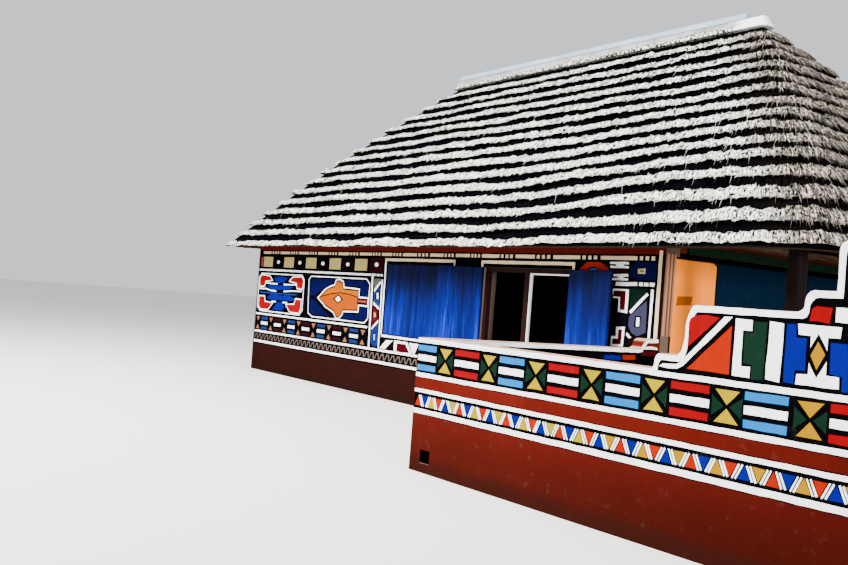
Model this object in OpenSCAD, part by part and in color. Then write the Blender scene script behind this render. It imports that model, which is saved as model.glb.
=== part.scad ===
// Painted thatched house with rounded hips, an end veranda and a stepped courtyard wall.
// Sizes are in millimetres. The origin is on the ground at the middle of the four house walls.
// +X runs along the painted front towards the veranda, +Y runs into the house, +Z is up.

/* [House walls] */
// Length of the house over its end walls
house_l = 10200; // [8800:100:12000]
// Depth of the house over its front and back walls
house_w = 5280; // [4600:20:6000]
// Thickness of the plastered walls
wall_t = 230; // [180:10:300]
// Thickness of the house floor
floor_h = 120; // [80:10:160]
// Height of the horizontal edges moulded round the corner by the veranda
corner_bead = 18; // [10:1:30]

/* [Windows] */
// Width of a window opening
win_w = 1720; // [1200:20:1900]
// Height of a window opening
win_h = 1100; // [800:20:1200]
// Height of the sills above the ground
sill_h = 1000; // [800:20:1100]
// Distance from the veranda corner to the middle of the window with open shutters
win_near = 2340; // [2200:20:2600]
// Distance between the middles of the two windows
win_pitch = 2420; // [2000:20:2600]
// Width of the bars of a timber window frame
frame_b = 60; // [40:5:80]
// Depth of a timber window frame
frame_d = 70; // [50:5:90]
// Width of the middle post of a frame
mullion_b = 80; // [50:5:100]
// Thickness of a plank shutter
leaf_t = 34; // [24:2:44]
// Gap round a shutter
leaf_gap = 6; // [3:1:12]
// Angle that the open shutters stand off the wall
leaf_open = 10; // [4:1:40]
// Width of a rail across the back of a shutter
rail_b = 90; // [60:10:120]
// Thickness of a rail
rail_t = 22; // [16:2:30]

/* [Doorway] */
// Width of the doorway under the veranda
door_w = 920; // [800:20:1100]
// Height of the doorway above the floor
door_h = 2010; // [1900:10:2100]
// Distance from the back corner to the doorway
door_in = 800; // [500:20:1500]

/* [Roof] */
// Pitch of every slope in degrees
pitch = 46; // [42:1:50]
// How far the thatch reaches past the outer line of the walls
overhang = 600; // [450:10:750]
// Height of the lower edge of the thatch above the ground
eave_z = 2342; // [2250:2:2450]
// Thickness of the thatch under the stepped courses
thatch_t = 170; // [140:5:220]
// Depth of one step of the thatch
step_t = 60; // [40:5:80]
// Number of stepped courses from eave to ridge
courses = 15; // [10:5:20]
// Corner radius of the thatch at the eaves
eave_r = 900; // [700:50:1100]
// Corner radius of the thatch at the eaves of the end without a veranda
eave_r_left = 240; // [160:10:900]
// Corner radius inside the thatch at the eaves
inner_r = 450; // [300:25:500]
// How far the thatch swells out past a straight slope, halfway up
belly = 130; // [0:10:180]
// Half the width of the thatch under the ridge cap
cap_half = 110; // [100:10:300]
// Radius of a rafter pole
pole_r = 45; // [35:5:60]
// Largest spacing of the rafter poles
pole_pitch = 1150; // [900:50:1400]
// Side of the square timber plates that carry the rafters
plate_s = 100; // [80:10:120]
// Width of the ridge board
ridge_b = 40; // [30:5:60]
// Depth of the ridge board
ridge_d = 200; // [150:10:260]
// Height of the plastered ridge cap
cap_h = 150; // [120:10:340]
// Width of the metal strip on the ridge
strip_w = 130; // [110:10:200]
// Height of the metal strip on the ridge
strip_h = 100; // [60:5:120]
// How far the foot of the ridge cap stands out over the thatch
cap_lip = 34; // [20:2:60]

/* [Veranda] */
// Distance from the end wall to the middle of the veranda posts
veranda_w = 1585; // [1400:5:1900]
// Diameter of a veranda post
post_d = 200; // [160:10:240]
// Height of the green beam on the end wall
beam_z = 2330; // [2250:10:2340]
// Depth of the green beam
beam_h = 100; // [80:10:120]
// How far the green beam stands off the wall
beam_t = 45; // [30:5:60]

/* [Courtyard wall] */
// Thickness of the courtyard walls
yard_t = 160; // [120:10:200]
// Distance from the house front to the outer face of the courtyard wall
yard_y = 3150; // [2600:50:3400]
// Height of the low part of the courtyard wall
yard_h = 1238; // [1000:2:1300]
// Length of the low part of the courtyard wall
yard_low = 2850; // [2400:10:3200]
// Height of the small step before the raised part
step_1_h = 112; // [80:2:140]
// Length from the low part to the raised part
step_1_l = 250; // [200:10:300]
// Height of the raised part above the ground
yard_mid_h = 1700; // [1600:5:1800]
// Length of the raised part with its lower curve
yard_mid_l = 890; // [800:10:1000]
// Height of the upper step above the ground
yard_up_h = 1835; // [1810:5:1900]
// Length of the upper step with its curve
yard_up_l = 255; // [240:5:320]
// Height of the gate pier
pier_h = 2140; // [2000:10:2300]
// Width of the gate pier
pier_w = 750; // [500:10:900]
// Radius of the shoulders of the gate pier
pier_r = 60; // [30:5:90]
// Width of each curve by which the courtyard wall steps up
curve_w = 110; // [70:10:140]
// Length of the rise of the side wall where it meets the house
rise_l = 330; // [200:10:450]
// Width of the drain hole at the foot of the courtyard wall
drain_w = 150; // [100:10:200]
// Height of the drain hole above the ground
drain_z = 90; // [40:10:150]

/* [Hidden] */
$fn = 32;
arc_n = 10;          // steps of one rounded roof corner, an even number
curve_n = 7;         // steps of one quarter of a wall curve
hx = house_l / 2;
hy = house_w / 2;
tp = tan(pitch);
sp = sin(pitch);
cp = cos(pitch);
seat = 0.3;          // bearing gap between round poles and flat timber
pole_margin = 180;     // from a rounded corner of the roof to the first pole beside it
pole_foot = 110;     // from the inner edge of the eaves to the foot of a pole
pole_apart = 40;     // clear space between the ends of poles that meet at a hip
king_short = 60;     // how much shorter the middle pole of a hipped end is
board_end = 60;      // from the end of the ridge to the end of the ridge board
cap_round = 25;      // how much sharper the ends of the ridge cap are than its width
bead_space = 40;     // from the courtyard wall to the foot of a corner moulding

// Roof outline, measured at the outer edge of the lowest course
roof_x0 = -hx - overhang;
roof_x1 = hx + veranda_w + wall_t / 2 + overhang;
roof_y = hy + overhang;
half = roof_y;                         // half the roof's depth
q_step = step_t / sp;                  // level width of one step's underside
q_in = (step_t + thatch_t) / sp;       // level width of the thatch at the eaves
top_q = half - cap_half;
top_z = eave_z + top_q * tp;
course_dz = (top_z - eave_z) / courses;
top_r = cap_half - 30;
keep_t = 12 / sp;                      // thatch left where one course passes under the next

// Inner face of the thatch
core = 8;                              // half the slot that is left along the ridge
in_top_q = half - core;
in_top_z = eave_z + (in_top_q - q_in) * tp;

// Timber
plate_q = overhang + wall_t / 2 - plate_s / 2;   // from the eaves to the outer edge of a plate
pole_drop = (2 * pole_r + seat) / cp;
plate_z = eave_z + (plate_q - q_in) * tp - pole_drop - plate_s - seat;
wall_h = plate_z;
post_x = hx + veranda_w;
post_y = hy - wall_t / 2;
ridge_top = eave_z + (half - ridge_b / 2 - q_in) * tp - seat;
hip_r = pole_r + 10;

// Windows: the middle of each, on the front and on the back
win_x = [hx - win_near - win_pitch, hx - win_near];
leaf_w = (win_w - 3 * leaf_gap) / 2;
leaf_h = win_h - 2 * leaf_gap;

// Courtyard wall
yard_x = hx - yard_t;
up_0 = yard_low + step_1_l;
up_1 = up_0 + yard_mid_l;
up_2 = up_1 + yard_up_l;
yard_l = up_2 + pier_w;

// The sharper corner radius of the left end, in the place of r on the veranda end
function left_r(r) = min(r, max(core / 2, r * eave_r_left / eave_r));

// Point number j of rounded corner k of the roof, q in from the eaves, with corner radius r0
function corner_pt(k, j, q, r0) =
  let (a = 180 + 90 * k + 90 * j / arc_n,
       left = k == 0 || k == 3,
       r = left ? left_r(r0) : r0,
       cx = left ? roof_x0 + q + r : roof_x1 - q - r,
       cy = (k < 2) ? -roof_y + q + r : roof_y - q - r)
  [cx + r * cos(a), cy + r * sin(a)];

// Point number i all the way round the roof, for one profile point s = [q, r, z]
function ring_pt(i, s) =
  let (k = floor(i / (arc_n + 1)) % 4, j = i % (arc_n + 1), p = corner_pt(k, j, s[0], s[1]))
  [p[0], p[1], s[2]];

// Corner radius of the thatch at inset q, for a face that lies d inside the outermost one
function thatch_r(q, d) = eave_r + (top_r - eave_r) * (q - d) / top_q - d;

// A profile of [q, r, z] points swept round the roof from outline point i0 to i1
module roof_sweep(profile, i0, i1, closed) {
  m = len(profile);
  n = i1 - i0 + 1;
  loops = closed ? n : n - 1;
  pts = [for (i = [i0:i1]) for (s = profile) ring_pt(i, s)];
  sides = [for (a = [0:loops - 1]) for (b = [0:m - 1])
    let (a2 = (a + 1) % n, b2 = (b + 1) % m)
    each [[a * m + b, a2 * m + b, a2 * m + b2], [a * m + b, a2 * m + b2, a * m + b2]]];
  ends = closed ? [] : [[for (b = [0:m - 1]) b], [for (b = [0:m - 1]) (n - 1) * m + m - 1 - b]];
  polyhedron(pts, concat(sides, ends), convexity = 10);
}

// How far the thatch swells out at inset q
function swell(q) = belly * sin(180 * q / top_q);

// Outer face of the thatch body at inset q from the outermost face
function body_pt(q) = [q + q_step - swell(q), thatch_r(q + q_step, q_step), eave_z + q * tp];

thatch_profile = concat(
  [for (i = [0:5]) body_pt(i * top_q / 5)],
  [[half - core, core / 2, top_z],
   [in_top_q, core / 2, in_top_z],
   [q_in, inner_r, eave_z]]);

// One of the four sides of the thatch, from the middle of one corner to the next
module thatch_side(k) {
  color("burlywood")
    roof_sweep(thatch_profile, k * (arc_n + 1) + arc_n / 2, (k + 1) * (arc_n + 1) + arc_n / 2, false);
}

// Outer points of course c, with its level lip and the place where it runs under the next
function course_pts(c) =
  let (q0 = c * top_q / courses, q1 = (c + 1) * top_q / courses)
  [[q0 - swell(q0), thatch_r(q0, 0), eave_z + q0 * tp],
   [q1 + q_step - keep_t - swell(q1), thatch_r(q1 + q_step - keep_t, q_step - keep_t),
    eave_z + q1 * tp]];

// A band of three courses, each standing proud of the one above it
module thatch_courses(band) {
  per = courses / 5;
  c0 = (band - 1) * per;
  outer = [for (c = [c0:c0 + per - 1]) each course_pts(c)];
  q_low = c0 * top_q / courses;
  q_high = (c0 + per) * top_q / courses;
  color("wheat")
    roof_sweep(concat(outer, [body_pt(q_high), body_pt(q_low)]), 0, 4 * (arc_n + 1) - 1, true);
}

module ridge_cap() {
  lip = cap_half + cap_lip;
  rows = [[lip, 0], [lip, 0.16 * cap_h], [lip - 0.8 * cap_lip, 0.36 * cap_h],
          [lip - 2 * cap_lip, 0.78 * cap_h], [0.55 * strip_w, 0.96 * cap_h], [strip_w / 2, cap_h]];
  profile = [for (s = rows) [half - s[0], s[0] - cap_round, top_z + s[1]]];
  n = 4 * (arc_n + 1);
  m = len(profile);
  pts = [for (i = [0:n - 1]) for (s = profile) ring_pt(i, s)];
  sides = [for (a = [0:n - 1]) for (b = [0:m - 2])
    let (a2 = (a + 1) % n)
    each [[a * m + b, a2 * m + b, a2 * m + b + 1], [a * m + b, a2 * m + b + 1, a * m + b + 1]]];
  low = [for (a = [0:n - 1]) (n - 1 - a) * m];
  high = [for (a = [0:n - 1]) a * m + m - 1];
  color("whitesmoke") polyhedron(pts, concat(sides, [low, high]), convexity = 6);
}

module ridge_strip() {
  w = strip_w / 2;
  x0 = roof_x0 + half - w / 2;
  x1 = roof_x1 - half - 3.5 * w;
  color("lightsteelblue") translate([x0, 0, top_z + cap_h]) rotate([90, 0, 90])
    linear_extrude(x1 - x0)
      polygon([[-w, 0], [w, 0], [w, 0.14 * strip_h], [0.6 * w, 0.76 * strip_h], [0.35 * w, strip_h],
               [-0.35 * w, strip_h], [-0.6 * w, 0.76 * strip_h], [-w, 0.14 * strip_h]]);
}

// A house wall panel with its outer face on y = 0, its length on +X and its thickness on +Y
module wall_panel(l) {
  cube([l, wall_t, wall_h]);
}

module window_cuts() {
  for (x = win_x)
    translate([x - win_w / 2, -1, sill_h]) cube([win_w, wall_t + 2, win_h]);
}

module front_wall() {
  color("saddlebrown") translate([0, -hy, 0]) difference() {
    translate([-hx, 0, 0]) wall_panel(house_l);
    window_cuts();
  }
}

module back_wall() {
  color("saddlebrown") mirror([0, 1, 0]) translate([0, -hy, 0]) difference() {
    translate([-hx, 0, 0]) wall_panel(house_l);
    window_cuts();
  }
}

module end_wall_block() {
  cube([wall_t, house_w - 2 * wall_t, wall_h]);
}

module left_end_wall() {
  color("saddlebrown") translate([-hx, -hy + wall_t, 0]) end_wall_block();
}

module right_end_wall() {
  color("teal") difference() {
    translate([hx - wall_t, -hy + wall_t, 0]) end_wall_block();
    translate([hx - wall_t - 1, hy - door_in - door_w, floor_h])
      cube([wall_t + 2, door_w, door_h]);
  }
}

// Upright beads that frame the painted front at the veranda corner
module corner_mouldings() {
  b = corner_bead;
  color("linen") for (i = [0:2])
    translate([hx, -hy + (1 + 3 * i) * b, yard_h + step_1_h + bead_space])
      cube([b, 1.6 * b, beam_z - yard_h - step_1_h - 1.5 * bead_space]);
}

module house_floor() {
  color("gray") translate([-hx + wall_t, -hy + wall_t, 0])
    cube([house_l - 2 * wall_t, house_w - 2 * wall_t, floor_h]);
}

module veranda_floor() {
  color("gray") translate([hx, -hy, 0])
    cube([veranda_w + post_d / 2 + 50, house_w, floor_h]);
}

// A timber frame with its outer corner at the origin, x along the wall and y into it
module window_frame() {
  difference() {
    cube([win_w, frame_d, win_h]);
    for (s = [0, 1]) {
      inner = (win_w - 2 * frame_b - mullion_b) / 2;
      translate([frame_b + s * (inner + mullion_b), -1, frame_b])
        cube([inner, frame_d + 2, win_h - 2 * frame_b]);
    }
  }
}

module frame_at(x) {
  translate([x - win_w / 2, leaf_t + seat, sill_h]) window_frame();
}

module window_1_frame() {
  color("saddlebrown") translate([0, -hy, 0]) frame_at(win_x[0]);
}

module window_2_frame() {
  color("saddlebrown") translate([0, -hy, 0]) frame_at(win_x[1]);
}

module back_window_frames() {
  color("saddlebrown") mirror([0, 1, 0]) translate([0, -hy, 0])
    for (x = win_x) frame_at(x);
}

// A plank leaf, hinged at x = 0 and reaching along +X, with its outer face on y = 0
module shutter_leaf() {
  cube([leaf_w, leaf_t, leaf_h]);
}

// The rails on the room side of a leaf
module leaf_rails() {
  for (z = [0.14, 0.86])
    translate([0.06 * leaf_w, leaf_t, z * leaf_h - rail_b / 2])
      cube([0.88 * leaf_w, rail_t, rail_b]);
}

module closed_pair(x) {
  translate([x - win_w / 2 + leaf_gap, 0, sill_h + leaf_gap]) shutter_leaf();
  translate([x + leaf_gap / 2, 0, sill_h + leaf_gap]) shutter_leaf();
}

// A leaf swung out on its hinge, with its rails turned to the front
module open_leaf() {
  rotate([0, 0, -180 + leaf_open]) {
    shutter_leaf();
    leaf_rails();
  }
}

module window_1_shutters() {
  color("royalblue") translate([0, -hy, 0]) closed_pair(win_x[0]);
}

module window_2_shutters() {
  color("royalblue") translate([win_x[1], -hy, sill_h + leaf_gap]) {
    translate([-win_w / 2, -seat, 0]) open_leaf();
    mirror([1, 0, 0]) translate([-win_w / 2, -seat, 0]) open_leaf();
  }
}

module back_window_shutters() {
  color("royalblue") mirror([0, 1, 0]) translate([0, -hy, 0])
    for (x = win_x) closed_pair(x);
}

module door_frame() {
  color("saddlebrown") translate([hx - wall_t / 2 - frame_d / 2, hy - door_in - door_w, floor_h])
    difference() {
      cube([frame_d, door_w, door_h]);
      translate([-1, frame_b, -1]) cube([frame_d + 2, door_w - 2 * frame_b, door_h - frame_b + 1]);
    }
}

module long_plate() {
  translate([-hx + wall_t / 2 - plate_s / 2, -hy + wall_t / 2 - plate_s / 2, plate_z])
    cube([house_l + veranda_w - wall_t / 2 + plate_s, plate_s, plate_s]);
}

module front_plate() {
  color("peru") long_plate();
}

module back_plate() {
  color("peru") mirror([0, 1, 0]) long_plate();
}

// A timber between the two long plates, with its middle line at x
module cross_plate(x) {
  w = house_w - wall_t - plate_s;
  color("peru") translate([x - plate_s / 2, -w / 2, plate_z]) cube([plate_s, w, plate_s]);
}

module left_plate() {
  cross_plate(-hx + wall_t / 2);
}

module right_plate() {
  cross_plate(hx - wall_t / 2);
}

module veranda_beam() {
  cross_plate(post_x);
}

module green_beam() {
  color("seagreen") translate([hx, -hy + 3 * wall_t / 2, beam_z])
    cube([beam_t, house_w - 2 * wall_t, beam_h]);
}

module veranda_posts() {
  color("saddlebrown") for (s = [-1, 1])
    translate([post_x, s * post_y, floor_h])
      cylinder(d = post_d, h = plate_z - floor_h, $fn = 48);
}

module ridge_board() {
  color("peru") translate([roof_x0 + half + board_end, -ridge_b / 2, ridge_top - ridge_d])
    cube([roof_x1 - roof_x0 - 2 * half - 2 * board_end, ridge_b, ridge_d]);
}

// A pole on the front slope at x, from the eaves up to inset q1
module slope_pole(x, q1) {
  q0 = q_in + pole_foot;
  translate([x, -roof_y + q0, eave_z + (q0 - q_in) * tp - (pole_r + seat) / cp])
    rotate([pitch - 90, 0, 0]) cylinder(r = pole_r, h = (q1 - q0) / cp, $fn = 20);
}

// Furthest inset that a pole may reach at distance d from the next eave
full_q = half - ridge_b / 2 - seat - pole_r * sp;
inner_run = in_top_q - q_in;
function jack_q(d) = min(full_q,
  (d - pole_r - pole_apart - inner_r - inner_r * q_in / inner_run) / (1 - inner_r / inner_run));

// Poles on a slope that runs from a to b, spaced evenly and kept off the corners
module slope_poles(a, b) {
  first = q_in + inner_r + pole_margin;
  run = b - a - 2 * first;
  n = ceil(run / pole_pitch);
  for (i = [0:n]) {
    x = a + first + run * i / n;
    q1 = jack_q(min(x - a, b - x));
    if (q1 > plate_q + plate_s + pole_apart) slope_pole(x, q1);
  }
}

module front_rafters() {
  color("burlywood") slope_poles(roof_x0, roof_x1);
}

module back_rafters() {
  color("burlywood") mirror([0, 1, 0]) slope_poles(roof_x0, roof_x1);
}

// Poles of one hipped end, brought round to the slope that faces +X or -X
module end_rafters() {
  color("burlywood") {
    translate([roof_x1 - roof_y, 0, 0]) rotate([0, 0, 90]) end_poles();
    translate([roof_x0 + roof_y, 0, 0]) rotate([0, 0, -90]) end_poles();
  }
}

module end_poles() {
  first = q_in + inner_r + pole_margin;
  run = 2 * roof_y - 2 * first;
  n = 4;
  for (i = [0:n]) {
    y = -roof_y + first + run * i / n;
    if (i != n / 2) slope_pole(y, jack_q(min(y + roof_y, roof_y - y)));
  }
  slope_pole(0, full_q - king_short);
}

// Height and reach of the inner thatch face over a corner, at inset q
function corner_in_r(q) = inner_r + (core / 2 - inner_r) * (q - q_in) / inner_run;
function hip_pt(q, left) =
  let (r = left ? left_r(corner_in_r(q)) : corner_in_r(q),
       d = q + (1 - sqrt(0.5)) * r) [d, eave_z + (q - q_in) * tp];

module hip_pole(left) {
  a = hip_pt(plate_q + plate_s + pole_apart + 20, left);
  b = hip_pt(half - 2 * hip_r - ridge_b, left);
  run = (b[0] - a[0]) * sqrt(2);
  rise = b[1] - a[1];
  drop = 1.04 * hip_r * sqrt(run * run + rise * rise) / run;
  translate([-a[0], a[0], a[1] - drop]) rotate([0, 0, 135])
    rotate([0, atan2(run, rise), 0]) cylinder(r = hip_r, h = sqrt(run * run + rise * rise), $fn = 20);
}

module hip_rafters() {
  color("burlywood") for (s = [0, 1]) mirror([0, s, 0]) {
    translate([roof_x1, -roof_y, 0]) hip_pole(false);
    translate([roof_x0, -roof_y, 0]) mirror([1, 0, 0]) hip_pole(true);
  }
}

// A wall curve that leaves level, turns upright and arrives level
function rise_pts(x0, z0, x1, z1) =
  let (xm = x0 + 0.45 * (x1 - x0), zm = z0 + 0.45 * (z1 - z0))
  concat([for (i = [0:curve_n]) let (a = 90 * i / curve_n)
            [x0 + (xm - x0) * sin(a), z0 + (zm - z0) * (1 - cos(a))]],
         [for (i = [1:curve_n]) let (a = 90 * i / curve_n)
            [xm + (x1 - xm) * (1 - cos(a)), zm + (z1 - zm) * sin(a)]]);

// The outline of the courtyard wall, stepping up in curves to the gate pier
function yard_outline() = concat(
  [[0, 0], [0, yard_h]],
  rise_pts(yard_low, yard_h, yard_low + 0.7 * curve_w, yard_h + step_1_h),
  rise_pts(up_0 - 0.2 * curve_w, yard_h + step_1_h, up_0 + curve_w, yard_mid_h),
  rise_pts(up_1, yard_mid_h, up_1 + curve_w, yard_up_h),
  [[up_2, yard_up_h]],
  [for (i = [0:curve_n]) let (a = 180 - 90 * i / curve_n)
    [up_2 + pier_r + pier_r * cos(a), pier_h - pier_r + pier_r * sin(a)]],
  [for (i = [0:curve_n]) let (a = 90 - 90 * i / curve_n)
    [yard_l - pier_r + pier_r * cos(a), pier_h - pier_r + pier_r * sin(a)]],
  [[yard_l, 0]]);

module courtyard_front_wall() {
  color("firebrick") translate([yard_x, -hy - yard_y + yard_t, 0]) difference() {
    rotate([90, 0, 0]) linear_extrude(yard_t) polygon(yard_outline());
    translate([yard_t, -yard_t - 1, drain_z]) cube([drain_w, yard_t + 2, 0.8 * drain_w]);
  }
}

// The outline of the side wall, from the courtyard corner to the house
function side_outline() =
  let (l = yard_y - yard_t)
  concat([[0, 0], [0, yard_h]],
         rise_pts(l - rise_l, yard_h, l - rise_l / 2, yard_h + step_1_h),
         [[l, yard_h + step_1_h], [l, 0]]);

module courtyard_side_wall() {
  color("firebrick") translate([yard_x, -hy - yard_y + yard_t, 0])
    rotate([90, 0, 90]) linear_extrude(yard_t) polygon(side_outline());
}

house_floor();
veranda_floor();
front_wall();
back_wall();
left_end_wall();
right_end_wall();
corner_mouldings();
window_1_frame();
window_2_frame();
back_window_frames();
window_1_shutters();
window_2_shutters();
back_window_shutters();
door_frame();
front_plate();
back_plate();
left_plate();
right_plate();
veranda_beam();
green_beam();
veranda_posts();
ridge_board();
front_rafters();
back_rafters();
end_rafters();
hip_rafters();
thatch_side(0);  // thatch_front
thatch_side(1);  // thatch_right
thatch_side(2);  // thatch_back
thatch_side(3);  // thatch_left
thatch_courses(1);  // thatch_courses_1
thatch_courses(2);  // thatch_courses_2
thatch_courses(3);  // thatch_courses_3
thatch_courses(4);  // thatch_courses_4
thatch_courses(5);  // thatch_courses_5
ridge_cap();
ridge_strip();
courtyard_front_wall();
courtyard_side_wall();
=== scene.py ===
# Painted thatched house with rounded hips, an end veranda and a stepped courtyard wall.
# Everything is in metres. +X runs along the painted front, +Y into the house, +Z is up.
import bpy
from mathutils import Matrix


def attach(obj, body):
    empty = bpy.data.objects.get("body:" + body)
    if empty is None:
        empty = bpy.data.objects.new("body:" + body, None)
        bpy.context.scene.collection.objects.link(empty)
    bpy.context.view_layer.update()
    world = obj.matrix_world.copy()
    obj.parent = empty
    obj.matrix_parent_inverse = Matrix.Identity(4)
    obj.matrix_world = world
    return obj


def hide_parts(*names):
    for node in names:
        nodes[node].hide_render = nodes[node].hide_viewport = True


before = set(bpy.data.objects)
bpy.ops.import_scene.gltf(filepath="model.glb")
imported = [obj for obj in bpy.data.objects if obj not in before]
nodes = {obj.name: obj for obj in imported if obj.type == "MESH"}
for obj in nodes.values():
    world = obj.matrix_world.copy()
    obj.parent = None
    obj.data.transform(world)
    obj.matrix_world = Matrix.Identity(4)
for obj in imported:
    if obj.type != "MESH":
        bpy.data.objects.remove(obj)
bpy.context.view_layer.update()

import math
import bpy
import numpy as np
from mathutils import Matrix, Vector

BODY = "root"
# The outer faces of the house front and of its ends
FRONT_Y, END_X = -2.64, 5.1

# Camera, light and floor

SENSOR, LENS = 36.0, 42.24
CAMERA_PLACE = (12.582, -11.177, 1.598)
CAMERA_RIGHT, CAMERA_UP = (0.5763, 0.8136, 0.0776), (-0.0314, -0.0728, 0.9968)
SKY_COLOUR, SUN_COLOUR = (0.93, 0.96, 1.0, 1), (1.0, 0.98, 0.95)
FLOOR_SIZE, FLOOR_COLOUR = 240, (0.8, 0.79, 0.77)


def make_camera():
    data = bpy.data.cameras.new("camera")
    data.sensor_width = SENSOR
    data.lens = LENS
    camera = bpy.data.objects.new("camera", data)
    bpy.context.scene.collection.objects.link(camera)
    right, up = Vector(CAMERA_RIGHT), Vector(CAMERA_UP)
    turn = Matrix((right, up, right.cross(up))).transposed()
    camera.rotation_euler = turn.to_euler()
    camera.location = CAMERA_PLACE
    bpy.context.scene.camera = camera


def area_light(name, place, target, size, power):
    data = bpy.data.lights.new(name, "AREA")
    data.size = size
    data.energy = power
    data.color = SUN_COLOUR
    light = bpy.data.objects.new(name, data)
    bpy.context.scene.collection.objects.link(light)
    light.location = place
    light.rotation_euler = (Vector(target) - Vector(place)).to_track_quat("-Z", "Y").to_euler()


def make_light():
    world = bpy.data.worlds.new("studio")
    world.use_nodes = True
    background = world.node_tree.nodes["Background"]
    background.inputs["Color"].default_value = SKY_COLOUR
    background.inputs["Strength"].default_value = 1.0
    bpy.context.scene.world = world
    area_light("key", place=(0, -15, 14), target=(1.5, -2, 2.5), size=5, power=13700)
    area_light("fill", place=(45, -10, 5.2), target=(5.1, -2, 1.4), size=6, power=22500)


def make_floor():
    bpy.ops.mesh.primitive_plane_add(size=FLOOR_SIZE, location=(0, 0, 0))
    floor = bpy.context.object
    floor.name = "studio_floor"
    floor.data.materials.append(Finish("pale_floor", 0.9).done(FLOOR_COLOUR))


# Shader maths


class Value:
    """A socket that adds its Math nodes when it is used in an expression."""

    def __init__(self, finish, socket):
        self.finish, self.socket = finish, socket

    def maths(self, operation, *others, flip=False):
        terms = (self, *others)
        return self.finish.node("ShaderNodeMath", dict(enumerate(terms[::-1] if flip else terms)),
                                operation=operation)

    def __add__(self, other):
        return self.maths("ADD", other)

    __radd__ = __add__

    def __mul__(self, other):
        return self.maths("MULTIPLY", other)

    __rmul__ = __mul__

    def __sub__(self, other):
        return self.maths("SUBTRACT", other)

    def __rsub__(self, other):
        return self.maths("SUBTRACT", other, flip=True)

    def __gt__(self, other):
        return self.maths("GREATER_THAN", other)

    def __lt__(self, other):
        return self.maths("LESS_THAN", other)

    def high(self, other):
        return self.maths("MAXIMUM", other)

    def low(self, other):
        return self.maths("MINIMUM", other)

    def size(self):
        return self.maths("ABSOLUTE")

    def between(self, start, end):
        """0 below start, 1 above end, and a smooth step between them."""
        return self.finish.node("ShaderNodeMapRange", {0: self, 1: start, 2: end},
                                interpolation_type="SMOOTHSTEP")


class Finish:
    """A material with one Principled shader."""

    def __init__(self, name, roughness, **shader):
        self.material = bpy.data.materials.new(name)
        self.material.use_nodes = True
        self.tree = self.material.node_tree
        self.shader = self.tree.nodes["Principled BSDF"]
        self.shader.inputs["Roughness"].default_value = roughness
        for socket, value in shader.items():
            self.shader.inputs[socket.replace("_", " ")].default_value = value
        self.where = self.node("ShaderNodeTexCoord", out="Object")

    def node(self, kind, inputs=None, out=0, **settings):
        new = self.tree.nodes.new(kind)
        stops = settings.pop("stops", None)
        for setting, value in settings.items():
            setattr(new, setting, value)
        if stops:
            ramp = new.color_ramp
            while len(ramp.elements) < len(stops):
                ramp.elements.new(0.5)
            for element, (place, colour) in zip(ramp.elements, stops):
                element.position = place
                element.color = (*colour, 1)
        for socket, value in (inputs or {}).items():
            if isinstance(value, Value):
                self.tree.links.new(value.socket, new.inputs[socket])
            else:
                new.inputs[socket].default_value = value
        return Value(self, new.outputs[out])

    def axis(self, letter):
        return self.node("ShaderNodeSeparateXYZ", {0: self.where}, letter)

    def upward(self):
        """1 on a face that looks up and 0 on an upright one."""
        return self.node("ShaderNodeSeparateXYZ", {0: self.node("ShaderNodeNewGeometry", out="Normal")}, "Z")

    def stretch(self, scale, source=None):
        return self.node("ShaderNodeMapping", {"Vector": source or self.where, "Scale": scale})

    def noise(self, scale, detail, source=None, rough=0.55, distortion=0.0):
        return self.node("ShaderNodeTexNoise", {"Vector": source or self.where, "Scale": scale,
                                                "Detail": detail, "Roughness": rough,
                                                "Distortion": distortion})

    def mix(self, factor, first, second, blend="MIX"):
        rgba = lambda c: (*c, 1) if isinstance(c, tuple) and len(c) == 3 else c
        return self.node("ShaderNodeMix", {0: factor, 6: rgba(first), 7: rgba(second)}, 2,
                         data_type="RGBA", blend_type=blend)

    def ramp(self, factor, *stops):
        return self.node("ShaderNodeValToRGB", {0: factor}, stops=stops)

    def shade(self, colour, amount):
        """The colour times a value."""
        grey = self.node("ShaderNodeCombineColor", {0: amount, 1: amount, 2: amount})
        return self.mix(1.0, colour, grey, "MULTIPLY")

    def done(self, colour, roughness=None, height=None, depth=0.0, strength=0.0):
        """Joins up the shader. height is the relief, of this depth in metres."""
        normal = None
        if height is not None:
            normal = self.node("ShaderNodeBump", {"Height": height, "Distance": depth, "Strength": strength})
        for socket, value in (("Base Color", colour), ("Roughness", roughness), ("Normal", normal)):
            if isinstance(value, Value):
                self.tree.links.new(value.socket, self.shader.inputs[socket])
            elif value is not None:
                self.shader.inputs[socket].default_value = (*value, 1)
        return self.material


# Finishes

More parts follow.
